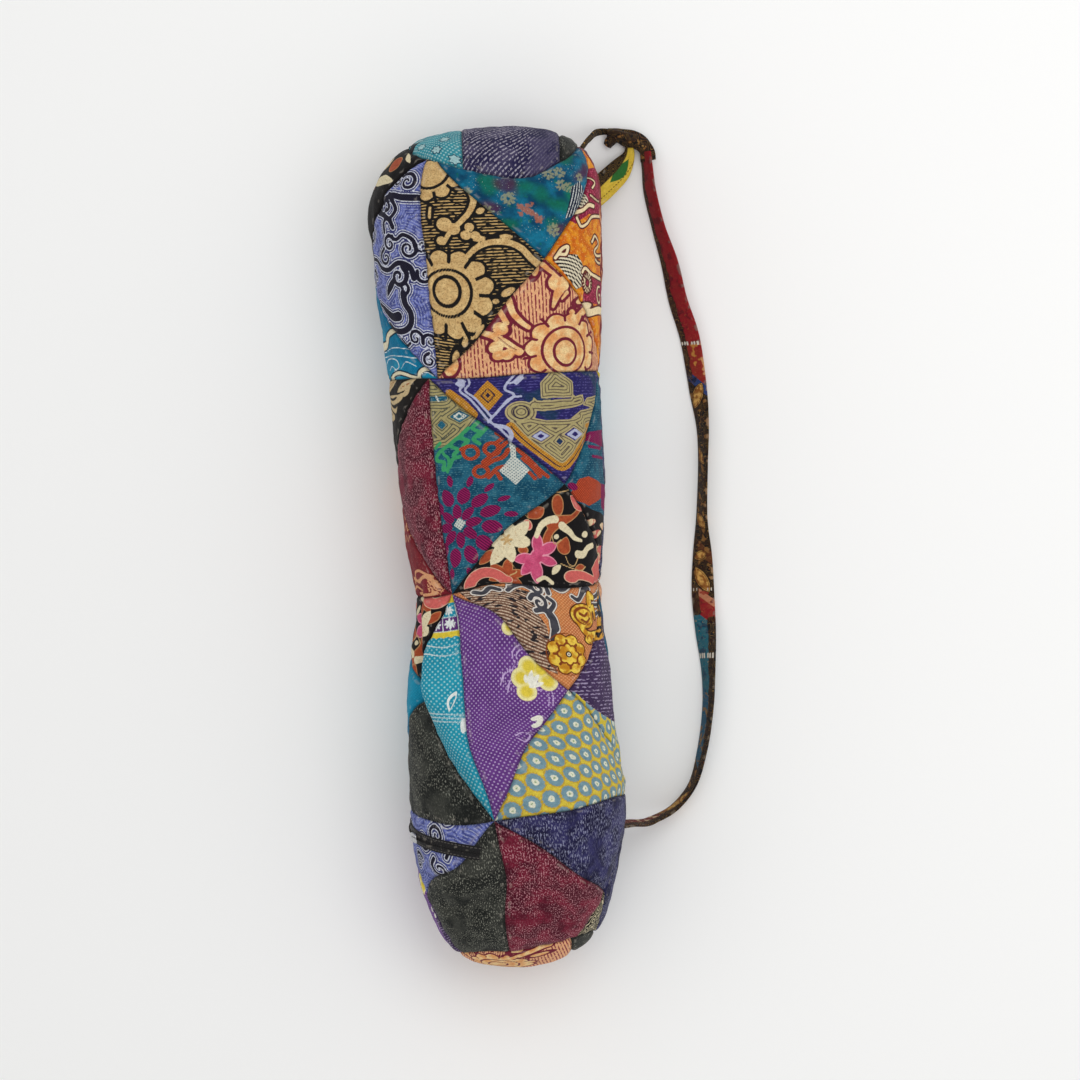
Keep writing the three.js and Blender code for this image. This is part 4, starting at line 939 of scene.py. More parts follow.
def ink_copper(p):
    """Dark scrolls with pale outlines, gold scrolls and a rosette, and a hatched corner."""
    dark = join(
        p.curl(69, -39, 8.5, 1.25, 1.8, 340, 1, 1.0),
        p.curl(67, -52, 8.0, 1.25, 1.8, 170, -1, 1.0),
        p.stroke([(75, -46), (80, -50), (76, -56), (73, -60), (77, -66), (76, -72), (74, -80)], 1.4, 2.4),
        p.stroke([(62, -60), (70, -57), (76, -62), (77, -70)], 1.6, 3.6),
        p.stroke([(98, -43), (104, -46), (109, -42), (114, -38), (122, -36)], 1.2, 2.6),
        p.stroke([(84, -36), (90, -38), (98, -34)], 1.8),
        p.stroke([(42, -46), (48, -41), (56, -38), (62, -40)], 1.6),
        p.stroke([(18, -43), (24, -46), (30, -42), (36, -45)], 1.8),
        p.curl(46, -37, 5, 1.1, 1.2, 250, 1, 0.8),
        p.stroke([(128, -44), (146, -42), (166, -38)], 1.6),
        p.stroke([(128, -58), (146, -56), (160, -60)], 1.6),
        p.stroke([(124, -50), (142, -50), (168, -48)], 1.2),
    )
    gold = join(
        p.oval(108, -59, 14, 9.5, -8),
        p.stroke([(118, -48), (120, -42), (126, -44)], 3.6, 2.4),
        p.stroke([(97, -60), (104, -70), (112, -74), (124, -74), (150, -72), (176, -70)], 1.6, 3.4),
        p.oval(111, -78, 5.5, 3.6),
        p.stroke([(118, -56), (124, -52), (128, -60)], 2.2),
    )
    rosette = p.flower(85, -90, 17.5, 8, 3.2, 22, 1.1)
    brown = join(
        cut(p.oval(108, -59, 11.8, 7.6, -8), p.oval(109, -59.5, 10, 6, -8)),
        p.stroke([(103, -57), (108, -59), (112, -57)], 1.2),
        p.stroke([(104, -62), (110, -64), (116, -61)], 1.0),
        p.ring(111, -78, 3.0, 0.5),
        cut(p.flower(85, -90, 10.4, 8, 1.8, 0, 1.1), p.flower(85, -90, 8.6, 8, 1.8, 0, 1.1)),
        p.rays(85, -90, 9.8, 13.0, 8, 1.1, 0, 1.1),
        p.ring(85, -90, 17.9, 0.5, 1.1),
    )
    hatched = join(
        p.shape((6, -37), (62, -44), (64, -62), (70, -70), (74, -106), (30, -84)),
    )
    return [dark, join(gold, rosette), brown, hatched, p.around(85, -90, 0, 1.1)[0]]


def ink_bloom(p):
    """Yellow five-lobed flowers with white stamens, and lilac double lines."""
    lobes = np.sort([
        p.oval(47, -109, 7.0, 6.6),
        p.oval(53, -101, 7.2, 6.8),
        p.oval(62, -102, 7.0, 7.0),
        p.oval(66, -111, 6.6, 7.0),
        p.oval(50, -119, 6.6, 7.0),
        p.oval(38, -77, 5.0, 4.4),
    ], axis=0)
    petals = lobes[-1]
    between = np.minimum(0.5 - (lobes[-1] - lobes[-2]), lobes[-2] + 1.5)
    white = join(
        p.leaf(52, -116, 60, -106, 2.0),
        p.leaf(52, -114, 55, -103, 1.8),
        p.leaf(52, -116, 63, -112, 1.7),
        p.leaf(50, -113, 50, -106, 1.5),
        p.stroke([(51, -143), (56, -141), (54, -147), (50, -150)], 1.8),
    )
    lilac = join(
        p.stroke([(43, -100), (41, -93), (45, -88), (52, -87), (58, -90), (66, -91)], 0.5),
        p.stroke([(46, -100), (44, -94), (48, -90), (53, -90)], 0.5),
        p.stroke([(45, -84), (49, -80), (47, -76), (52, -79)], 0.5),
        p.leaf(53, -86, 64, -92, 1.6),
        p.stroke([(58, -115), (64, -115), (68, -121), (67, -131)], 0.55),
        p.stroke([(57, -118), (62, -118), (65, -123), (64, -131)], 0.5),
        p.stroke([(42, -108), (38, -112), (36, -120)], 0.5),
        p.stroke([(40, -104), (34, -107), (31, -114)], 0.45),
        p.rays(40, -110, 5, 9, 22, 0.3),
        p.stroke([(35, -160), (40, -157), (45, -159), (40, -166), (36, -163)], 0.55),
        p.stroke([(45, -159), (43, -164)], 0.5),
    )
    return [petals, white, join(lilac, between)]


def ink_border(p):
    """Bands across the end of a turquoise cloth: a scalloped yellow edge, squares with snowflakes, white
    lines, and a flame on a stand."""
    v = p.v + 0.10 * (p.u - 500)
    cell = np.mod(p.u - 491, 12) - 6
    violet = 5.6 - np.abs(v + 63.5)
    scallop = 1.1 * np.abs(np.sin(math.pi * (p.u - 491) / 6))
    yellow = join(np.minimum(v + 75 - scallop, -69.4 - v), v + 45)
    flake_u = np.hypot(cell, v + 63.5)
    angle = np.arctan2(v + 63.5, cell)
    flake = np.minimum(0.75 - np.abs(np.mod(angle * 8 / (2 * math.pi) + 0.5, 1) - 0.5) * flake_u * 0.75, 4.6 - flake_u)
    top = np.hypot(cell, v + 51.5)
    angle = np.arctan2(v + 51.5, cell)
    flake_two = np.minimum(0.75 - np.abs(np.mod(angle * 8 / (2 * math.pi) + 0.5, 1) - 0.5) * top * 0.75, 4.4 - top)
    bars = np.minimum(0.42 - np.abs(np.abs(cell) - 6.0), np.minimum(v + 70, -46 - v))
    white = join(
        flake,
        flake_two,
        bars,
        0.45 - np.abs(v + 57.6),
        0.4 - np.abs(v + 69.6),
        0.5 - np.abs(v + 81 + 0.8 * np.cos((p.u - 502) / 5)),
        0.5 - np.abs(v + 87.5 + 0.8 * np.cos((p.u - 502) / 5)),
        cut(p.leaf(503, -131, 510, -116, 3.0, 1.5), p.leaf(504, -129, 509, -119, 1.6, 1.2)),
        np.minimum(0.5 - np.abs(np.mod(v, 3.0) - 1.5), np.minimum(v + 141, -131.5 - v)),
        p.leaf(512, -150, 522, -136, 4.0, 2),
    )
    return [yellow, violet, white]


def ink_discs(p):
    """Toothed discs on a slanting lattice, by their distance inside."""
    ax, ay, bx, by = 13.4, 2.9, 6.7, 14.6
    det = ax * by - ay * bx
    du, dv = p.u - 14, p.v + 214
    s = (du * by - dv * bx) / det
    t = (dv * ax - du * ay) / det
    best = np.full(np.shape(p.u), -1e3)
    for i in (0, 1):
        for j in (0, 1):
            si, tj = np.floor(s) + i, np.floor(t) + j
            x, y = du - si * ax - tj * bx, dv - si * ay - tj * by
            away, angle = np.hypot(x, y), np.arctan2(y, x)
            best = np.maximum(best, 5.9 + 0.35 * np.cos(angle * 18) - away)
    return [best]


def ink_panel_flower(p):
    """White five-petalled flowers on turquoise."""
    flowers = join(
        p.petals(-38, 52, 0.5, 4.5, 6, 1.3, 10),
        p.petals(-26, 64, 0.5, 4.5, 6, 1.3, 40),
        p.petals(-52, 40, 0.5, 4.5, 6, 1.3, 20),
        p.petals(-30, 38, 0.5, 4.5, 6, 1.3, 0),
        p.petals(-60, 18, 0.5, 6.5, 6, 1.7, 30),
        p.petals(-40, 12, 0.5, 6.5, 6, 1.7, 5),
        p.petals(-56, -20, 0.5, 6.5, 6, 1.7, 25),
        p.petals(-34, -30, 0.5, 6.5, 6, 1.7, 15),
    )
    band = 1.4 * p.noise(7, 12) + p.shape((-72, 34), (-60, 36), (-56, 22), (-70, 10))
    return [flowers, band]


# Shader maths
# Share of a seen colour that the dye keeps, because the lit cloth is seen brighter than its dye.
DYE = 0.8


class Wire:
    """A shader socket in sums and products: each operator adds one Math node."""

    def __init__(self, finish, socket):
        self.finish, self.socket = finish, socket

    def math(self, operation, *others):
        return self.finish.node("ShaderNodeMath", {"operation": operation}, dict(enumerate((self, *others))))

    def __add__(self, other):
        return self.math("ADD", other)

    __radd__ = __add__

    def __mul__(self, other):
        return self.math("MULTIPLY", other)

    __rmul__ = __mul__

    def __sub__(self, other):
        return self.math("SUBTRACT", other)

    def __rsub__(self, other):
        return self * -1 + other

    def __abs__(self):
        return self.math("ABSOLUTE")

    def sine(self, period):
        return (self * (2 * math.pi / period)).math("SINE")

    def least(self, other):
        return self.math("MINIMUM", other)

    def most(self, other):
        return self.math("MAXIMUM", other)


def srgb(red, green, blue):
    """A colour seen as 0 to 255, as light, with full opacity."""
    shares = np.array([red, green, blue]) / 255
    light = np.where(shares <= 0.04045, shares / 12.92, ((shares + 0.055) / 1.055) ** 2.4)
    return (*light.tolist(), 1.0)


class Finish:
    """One material. Its flat wire is the piece's cloth coordinates in millimetres."""

    def __init__(self, name):
        self.material = bpy.data.materials.new(name)
        self.material.use_nodes = True
        self.tree = self.material.node_tree
        self.shader = self.tree.nodes["Principled BSDF"]
        self.flat = self.node("ShaderNodeUVMap", {"uv_map": "cloth"})
        self.u = self.node("ShaderNodeSeparateXYZ", {}, {0: self.flat})
        self.v = Wire(self, self.u.socket.node.outputs[1])

    def node(self, kind, settings=None, sockets=None, out=0):
        """Any node: its settings first, then the values or links of its sockets."""
        made = self.tree.nodes.new(kind)
        for setting, value in (settings or {}).items():
            if setting == "stops":
                ramp = made.color_ramp
                ramp.elements.remove(ramp.elements[-1])
                ramp.elements[0].position, ramp.elements[0].color = value[0]
                for place, colour in value[1:]:
                    ramp.elements.new(place).color = colour
            else:
                setattr(made, setting, value)
        for socket, value in (sockets or {}).items():
            if isinstance(value, Wire):
                self.tree.links.new(value.socket, made.inputs[socket])
            else:
                made.inputs[socket].default_value = value
        return Wire(self, made.outputs[out])

    def field(self, name):
        """A point attribute of the piece, such as the distance inside a figure."""
        return self.node("ShaderNodeAttribute", {"attribute_name": name}, {}, 2)

    def smooth(self, value, low, high):
        settings = {"interpolation_type": "SMOOTHSTEP"}
        return self.node("ShaderNodeMapRange", settings, {0: value, 1: low, 2: high, 3: 0.0, 4: 1.0})

    def mix(self, factor, first, second):
        settings = {"data_type": "RGBA"}
        return self.node("ShaderNodeMix", settings, {0: factor, 6: first, 7: second}, 2)

    def shade(self, colour, factor):
        """A colour made lighter or darker by a wire round 1."""
        grey = self.node("ShaderNodeCombineXYZ", {}, {0: factor, 1: factor, 2: factor})
        return self.node("ShaderNodeVectorMath", {"operation": "MULTIPLY"}, {0: colour, 1: grey})

    def noise(self, wave, detail=2.0, stretch=(1.0, 1.0), shift=0.0):
        """Noise of the flat cloth with a wave in millimetres, longer along each stretched direction."""
        scale = (1 / stretch[0], 1 / stretch[1], 1.0)
        place = self.node("ShaderNodeVectorMath", {"operation": "MULTIPLY"}, {0: self.flat, 1: scale})
        if shift:
            place = self.node("ShaderNodeVectorMath", {"operation": "ADD"}, {0: place, 1: (shift, shift, 0.0)})
        return self.node("ShaderNodeTexNoise", {}, {"Vector": place, "Scale": 1 / wave, "Detail": detail})

    def mask(self, ink, soft=0.3, rough=0.35):
        """1 inside a figure, with the slightly uneven edge of dye on cloth."""
        edge = ink + (self.noise(1.6) - 0.5) * (2 * rough)
        return self.smooth(edge, -soft, soft)

    def line(self, ink, at, half):
        """1 on a line that runs at a set distance inside a figure's edge."""
        return self.smooth(half - abs(ink - at), -0.15, 0.2)

    def dots(self, across, along, level=0.45):
        """Staggered round dots: the product of two sines, where it is high."""
        return self.smooth(self.u.sine(across) * self.v.sine(along), level, level + 0.25)

    def speckle(self, wave, level, stretch=(1.0, 1.0), shift=0.0):
        return self.smooth(self.noise(wave, 1.0, stretch, shift), level, level + 0.06)

    def dashes(self, pitch, length, level=0.5):
        """Broken lines across the cloth's length."""
        lines = self.smooth(self.v.sine(pitch), -0.1, 0.5)
        return lines * self.smooth(self.noise(1.5, 1.0, (length / 1.5, 1.0)), level - 0.05, level + 0.05)

    def cloth(self, colour, roughness=0.86, sheen=0.05, coarse=1.0):
        """Cotton: mottled dye, grain, painted shade that darkens the cloth right at the seams, beside them a lighter
        speckled band that is partly wear and partly painted highlight on the puffed cloth, and a plain weave as bump."""
        edge = self.field("edge")
        mottle = (self.noise(45.0) - 0.5) * 0.22 + (self.noise(9.0, 3.0) - 0.5) * 0.16
        weave = self.u.sine(1.25 * coarse) * self.v.sine(1.25 * coarse)
        grain = (self.noise(0.8, 1.0) - 0.5) * 0.5 + (self.noise(2.4, 1.0) - 0.5) * 0.4 + weave * 0.035
        # Painted shade: the colour falls to 0.7 of itself in the seam's ditch, within 2.2 mm of the edge.
        seam = self.smooth(edge, 0.0, 2.2) * 0.3 + 0.7
        colour = self.shade(colour, (mottle + grain + DYE) * seam)
        # Partly real wear and partly painted highlight: a speckled paler band 1.6 to 5.5 mm from the seam.
        worn = self.smooth(edge, 1.6, 3.0) * (1 - self.smooth(edge, 3.0, 5.5)) * self.speckle(7.0, 0.55) * 0.16
        colour = self.mix(worn, colour, srgb(215, 205, 190))
        links = self.tree.links
        links.new(colour.socket, self.shader.inputs["Base Color"])
        rough = self.noise(14.0) * 0.16 + (roughness - 0.08)
        links.new(rough.socket, self.shader.inputs["Roughness"])
        height = weave * 0.5 + self.noise(2.6, 3.0) * 1.4
        bump = self.node(
            "ShaderNodeBump", {}, {"Height": height, "Strength": 0.35, "Distance": 0.0006}
        )
        links.new(bump.socket, self.shader.inputs["Normal"])
        self.shader.inputs["Sheen Weight"].default_value = sheen
        self.shader.inputs["Specular IOR Level"].default_value = 0.12
        return self.material


def layered(finish, ground, *layers):
    """Colours laid one over another, each through its mask."""
    for mask, colour in layers:
        ground = finish.mix(mask, ground, colour)
    return ground


# Looks of the printed cloths
def look_gold_flower(f):
    figure, line = f.field("ink0"), f.field("ink1")
    gold = f.mix(f.noise(5.0, 3.0), srgb(176, 130, 74), srgb(252, 220, 156))
    gold = f.mix(f.speckle(1.3, 0.56) * 0.5, gold, srgb(140, 100, 58))
    dark = srgb(27, 24, 23)
    far = f.smooth(figure, -2.6, -2.0)
    ground = f.mix(f.dashes(2.5, 4.5, 0.45) * (1 - far), dark, srgb(206, 170, 110))
    return layered(f, ground, (f.mask(figure), gold), (f.mask(line), dark))


def look_maroon_flower(f):
    figure, line = f.field("ink0"), f.field("ink1")
    pale = f.mix(f.smooth(f.noise(9.0, 3.0), 0.35, 0.65), srgb(240, 168, 104), srgb(253, 220, 160))
    pale = f.mix(f.speckle(1.3, 0.58) * 0.4, pale, srgb(216, 132, 80))
    dark = f.mix(f.noise(4.0), srgb(104, 28, 46), srgb(134, 42, 60))
    ups = f.smooth(f.u.sine(2.7), -0.1, 0.45) * f.speckle(1.5, 0.42, (1.0, 3.0))
    ground = f.mix(ups, srgb(243, 182, 134), srgb(146, 56, 66))
    near = f.smooth(figure, -2.8, -2.2)
    return layered(f, ground, (near, dark), (f.mask(figure), pale), (f.mask(line), dark))


def look_cloud_scroll(f):
    band = f.field("ink0")
    wave = f.noise(16.0, 1.0).sine(0.16)
    ground = f.mix(f.smooth(wave, -0.6, 0.8), srgb(74, 82, 146), srgb(112, 122, 190))
    rows = f.smooth(band.sine(2.3), 0.0, 0.7) * f.speckle(1.1, 0.45)
    ground = f.mix(rows * 0.6, ground, srgb(186, 192, 226))
    beads = f.speckle(1.1, 0.42)
    line = (f.line(band, 0.0, 0.42) + f.line(band, -1.9, 0.36)).least(1.0) * (beads * 0.6 + 0.4)
    dark = srgb(26, 25, 44)
    inner = f.dots(2.2, 2.2, 0.6) * 0.25
    return layered(
        f, ground, (f.smooth(band, -2.5, -2.1) * 0.85, srgb(44, 46, 96)), (f.mask(band - 0.4), dark),
        (inner * f.mask(band), srgb(90, 80, 80)), (line, srgb(228, 231, 242)),
    )


def look_blossom(f):
    green, wine, gold, rust, fan = (f.field(f"ink{i}") for i in range(5))
    blur = f.smooth(f.noise(17.0, 3.0), 0.36, 0.66)
    ground = f.mix(blur, srgb(4, 66, 100), srgb(20, 118, 150))
    ground = f.mix(f.smooth(f.noise(6.0, 3.0, shift=40.0), 0.6, 0.72) * 0.7, ground, srgb(20, 112, 84))
    speck = f.speckle(1.4, 0.66) * f.smooth(f.noise(24.0), 0.45, 0.6)
    rows = f.smooth((f.u * 0.9 - f.v * 0.35).sine(2.8), 0.1, 0.5) * f.speckle(1.0, 0.4)
    fanned = f.mix(rows, srgb(24, 34, 58), srgb(206, 210, 206))
    return layered(
        f, ground, (f.smooth(green, -4.0, 3.5) * 0.75, srgb(18, 116, 84)), (f.smooth(wine, -3.6, 3.0) * 0.75, srgb(84, 30, 64)),
        (f.mask(gold, 0.6, 1.0) * 0.75, srgb(160, 160, 124)), (f.mask(rust, 0.6, 1.0) * 0.75, srgb(188, 110, 76)),
        (speck * 0.8, srgb(196, 214, 200)), (f.mask(fan), fanned),
    )


def look_swirl(f):
    crimson, cream, fans, stripes, brown = (f.field(f"ink{i}") for i in range(5))
    orange = f.mix(f.smooth(f.noise(8.0, 3.0), 0.4, 0.62), srgb(214, 106, 26), srgb(242, 158, 40))
    orange = f.mix(f.speckle(1.5, 0.62) * 0.6, orange, srgb(252, 206, 120))
    red = f.mix(f.speckle(1.8, 0.55), srgb(142, 34, 62), srgb(196, 74, 104))
    return layered(
        f, orange, (f.mask(crimson), red), (f.mask(brown, 0.5, 0.5), srgb(70, 34, 34)),
        (f.mask(fans), srgb(32, 26, 30)), (f.mask(stripes, 0.2, 0.1), srgb(238, 226, 196)),
        (f.smooth(cream, -1.5, -1.0), srgb(92, 34, 36)), (f.mask(cream, 0.25, 0.2), srgb(248, 226, 180)),
    )


def look_wave_cloud(f):
    band, thread = f.field("ink0"), f.field("ink1")
    ground = f.mix(f.smooth(f.noise(30.0, 2.0), 0.35, 0.65), srgb(0, 112, 152), srgb(22, 146, 180))
    ground = f.mix(f.dots(2.4, 2.4, 0.55) * 0.22, ground, srgb(90, 190, 210))
    return layered(
        f, ground, (f.smooth(band, -1.6, -1.1), srgb(14, 54, 74)), (f.mask(thread, 0.2, 0.2), srgb(226, 236, 236)),
        (f.mask(band, 0.25, 0.2), srgb(232, 222, 190)),
    )


def look_cream_on_black(f):
    leaf, scribble = f.field("ink0"), f.field("ink1")
    return layered(
        f, f.mix(f.noise(8.0), srgb(20, 18, 18), srgb(38, 33, 30)),
        (f.mask(scribble, 0.35, 0.6), srgb(216, 203, 168)), (f.mask(leaf), srgb(208, 184, 140)),
        (f.mask(leaf - 2.2) * f.speckle(2.0, 0.5), srgb(168, 112, 66)),
    )


def look_garden(f):
    cream, pink, rust, coral, tendril = (f.field(f"ink{i}") for i in range(5))
    veins = f.speckle(1.6, 0.6) * 0.5
    return layered(
        f, srgb(22, 19, 20), (f.smooth(rust, -0.9, -0.5), srgb(196, 140, 92)),
        (f.mask(rust), f.mix(f.noise(5.0, 3.0), srgb(138, 52, 34), srgb(200, 98, 56))),
        (f.smooth(coral, -0.8, -0.4), srgb(236, 190, 160)), (f.mask(coral), srgb(216, 104, 98)),
        (f.mask(pink), f.mix(f.noise(6.0, 3.0), srgb(180, 40, 88), srgb(232, 108, 148))),
        (f.line(pink, 0.5, 0.4) * 0.7, srgb(244, 176, 190)), (f.mask(cream), srgb(236, 222, 184)),
        (f.smooth(cream, 1.6, 3.0) * veins, srgb(186, 140, 92)), (f.mask(tendril, 0.2, 0.2), srgb(206, 170, 116)),
    )


def look_woven_mask(f):
    khaki, ochre, pale, line = (f.field(f"ink{i}") for i in range(4))
    ribs = f.smooth((khaki + f.noise(9.0, 0.0) * 1.6).sine(2.4), -0.85, -0.3)
    ground = f.mix(f.dashes(2.4, 3.0, 0.54), srgb(42, 36, 100), srgb(86, 80, 148))
    ground = f.mix(f.smooth(f.noise(26.0, 1.0), 0.58, 0.66) * 0.7, ground, srgb(26, 62, 84))
    thread = f.mix(ribs, srgb(98, 86, 76), srgb(180, 166, 116))
    rim = f.line(khaki, 0.0, 0.55)
    return layered(
        f, ground, (f.mask(khaki, 0.3, 0.5), thread), (rim, srgb(186, 170, 124)),
        (f.mask(ochre), f.mix(f.dots(2.4, 2.4, 0.2), srgb(182, 122, 40), srgb(218, 164, 66))),
        (f.mask(line, 0.2, 0.3), srgb(44, 34, 60)), (f.mask(pale, 0.25, 0.4), srgb(186, 190, 216)),
    )


def look_woven_leaf(f):
    khaki, green, rust, leaf, pale = (f.field(f"ink{i}") for i in range(5))
    ribs = f.smooth((khaki + f.noise(9.0, 0.0) * 1.6).sine(2.4), -0.85, -0.3)
    ground = f.mix(f.smooth(f.noise(12.0), 0.4, 0.6), srgb(14, 74, 100), srgb(36, 100, 124))
    ground = f.mix(f.dashes(1.9, 1.6, 0.56) * 0.55, ground, srgb(104, 160, 168))
    leafy = f.mix(f.smooth((f.u + f.v).sine(2.4), -0.2, 0.5), srgb(96, 12, 62), srgb(160, 30, 96))
    return layered(
        f, ground, (f.mask(khaki, 0.3, 0.5), f.mix(ribs, srgb(84, 86, 74), srgb(172, 160, 110))),
        (f.mask(green, 0.3, 0.5), srgb(62, 160, 104)),
        (f.mask(rust, 0.3, 0.5), f.mix(f.dots(2.2, 2.2, 0.1), srgb(160, 54, 34), srgb(206, 94, 52))),
        (f.mask(leaf, 0.3, 0.5), leafy),
        (f.mask(pale, 0.25, 0.4) * (1 - f.dots(2.8, 2.8, 0.3) * 0.8), srgb(214, 218, 208)),
        (f.smooth(f.field("ink5"), -0.2, 0.2), srgb(24, 20, 22)),
        (f.mask(f.field("ink6")), f.mix(f.smooth(f.noise(9.0), 0.46, 0.54), srgb(214, 106, 98), srgb(236, 212, 170))),
    )


def look_key(f):
    lines = f.field("ink0")
    ground = f.mix(f.noise(6.0, 3.0), srgb(104, 20, 34), srgb(146, 40, 50))
    ground = f.mix(f.speckle(1.5, 0.66) * 0.6, ground, srgb(214, 150, 120))
    return layered(f, ground, (f.mask(lines, 0.3, 0.6), srgb(226, 164, 118)))


def look_copper(f):
    dark, gold, brown, hatched, rosette = (f.field(f"ink{i}") for i in range(5))
    ground = f.mix(f.dots(3.2, 2.6, 0.1), srgb(196, 112, 66), srgb(232, 168, 118))
    pale = f.smooth(f.noise(30.0), 0.4, 0.6)
    ground = f.mix(pale * 0.4, ground, srgb(222, 148, 84))
    hatch = f.smooth((f.u * 0.25 + f.v).sine(2.4), -0.1, 0.5) * (f.speckle(1.2, 0.42, (1.0, 2.0)) * 0.7 + 0.3)
    zone = f.mix(hatch, srgb(116, 80, 62), srgb(222, 196, 170))
    zone = f.mix(f.speckle(3.0, 0.56, (2.5, 1.0), 20.0), zone, srgb(44, 38, 42))
    metal = f.mix(f.smooth(f.noise(7.0, 3.0), 0.4, 0.6), srgb(206, 140, 34), srgb(250, 214, 84))
    ink = f.mix(f.noise(5.0, 3.0), srgb(34, 34, 42), srgb(92, 92, 100))
    centre = 1 - f.smooth(rosette, 2.4, 3.0)
    return layered(
        f, ground, (f.mask(hatched), zone), (f.smooth(dark, -1.7, -1.2), srgb(36, 28, 30)),
        (f.line(dark, -0.6, 0.55), srgb(230, 222, 212)), (f.mask(dark), ink),
        (f.smooth(gold, -1.4, -0.9), srgb(92, 46, 22)), (f.mask(gold), metal),
        (f.mask(brown, 0.3, 0.3), srgb(138, 68, 28)), (centre, srgb(44, 30, 28)),
        (f.smooth(0.5 - abs(rosette - 1.2), -0.1, 0.2), srgb(236, 224, 196)),
    )


def look_bloom(f):
    petals, white, lilac = (f.field(f"ink{i}") for i in range(3))
    ground = f.mix(f.noise(18.0), srgb(88, 44, 118), srgb(122, 74, 152))
    ground = f.mix(f.dots(3.8, 3.8, 0.4) * 0.8, ground, srgb(196, 170, 214))
    yellow = f.mix(f.smooth(petals, 0.2, 3.6), srgb(248, 240, 176), srgb(232, 208, 72))
    return layered(
        f, ground, (f.mask(lilac, 0.2, 0.2), srgb(206, 178, 222)), (f.smooth(petals, -0.9, -0.4), srgb(238, 226, 160)),
        (f.mask(petals, 0.2, 0.2), yellow), (f.mask(white, 0.25, 0.2), srgb(244, 242, 226)),
    )


def look_border(f):
    yellow, violet, white = (f.field(f"ink{i}") for i in range(3))
    ground = f.mix(f.noise(20.0), srgb(18, 134, 166), srgb(46, 168, 190))
    ground = f.mix(f.dots(4.2, 4.2, 0.35) * 0.75, ground, srgb(170, 222, 222))
    return layered(
        f, ground, (f.mask(violet, 0.2, 0.1), srgb(98, 52, 120)), (f.mask(yellow, 0.2, 0.1), srgb(232, 206, 66)),
        (f.mask(white, 0.2, 0.2), srgb(234, 240, 236)),
    )


def look_panel_flower(f):
    flowers, band = f.field("ink0"), f.field("ink1")
    ground = f.mix(f.noise(20.0), srgb(28, 120, 140), srgb(72, 166, 178))
    ground = f.mix(f.dots(4.0, 4.0, 0.3) * 0.8, ground, srgb(176, 216, 214))
    return layered(
        f, ground, (f.mask(band), srgb(24, 26, 34)), (f.smooth(flowers, -1.2, -0.7), srgb(20, 70, 92)),
        (f.mask(flowers, 0.2, 0.2), srgb(168, 206, 208)),
    )


def look_discs(f):
    disc = f.field("ink0")
    yellow = f.mix(f.noise(9.0, 3.0), srgb(208, 184, 52), srgb(238, 214, 84))
    blue = f.mix(f.noise(4.0), srgb(98, 136, 152), srgb(144, 176, 186))
    return layered(
        f, yellow, (f.smooth(disc, -1.0, -0.6), srgb(206, 170, 60)), (f.mask(disc, 0.2, 0.15), blue),
        (f.smooth(disc, 3.3, 3.8), srgb(236, 236, 212)), (f.smooth(disc, 4.9, 5.2), srgb(150, 176, 130)),
    )


def look_squiggle(f):
    above, below, disc = f.field("ink0"), f.field("ink1"), f.field("ink2")
    ground = f.mix(f.noise(18.0), srgb(52, 34, 74), srgb(80, 58, 98))
    ground = f.mix(f.dashes(3.0, 4.5, 0.52) * 0.85, ground, srgb(174, 158, 192))
    streak = f.mix(f.smooth(f.noise(5.0, 1.0, (3.0, 1.0)), 0.46, 0.54), srgb(34, 26, 28), srgb(226, 164, 52))
    ringed = f.mix(f.mask(disc, 0.2, 0.15), srgb(226, 202, 66), srgb(122, 158, 172))
    ringed = f.mix(f.smooth(disc, 3.3, 3.8), ringed, srgb(236, 236, 212))
    return layered(f, ground, (f.smooth(above, -0.2, 0.2), streak), (f.smooth(below, -0.2, 0.2), ringed))


def look_spark(f, dark, light, spark, level=0.58, wave=1.2, stretch=(1.0, 1.0)):
    ground = f.mix(f.smooth(f.noise(18.0, 3.0), 0.4, 0.62), dark, light)
    blot = f.smooth(f.noise(26.0, 1.0, shift=90.0), 0.56, 0.64)
    rows = f.smooth(f.u.sine(2.0), -0.5, 0.6) * 0.6 + 0.4
    return f.mix(f.speckle(wave, level, stretch) * (0.8 - blot * 0.65) * rows, ground, spark)


def look_wine_spark(f):
    return look_spark(f, srgb(80, 12, 34), srgb(118, 26, 50), srgb(214, 150, 158), 0.53, 1.0, (1.0, 1.7))


def look_navy_spark(f):
    return look_spark(f, srgb(28, 26, 60), srgb(54, 52, 98), srgb(158, 160, 190), 0.53, 0.9, (1.0, 2.6))


def look_grey_spark(f):
    return look_spark(f, srgb(31, 33, 31), srgb(60, 61, 56), srgb(158, 158, 144), 0.56, 0.9, (1.0, 2.2))


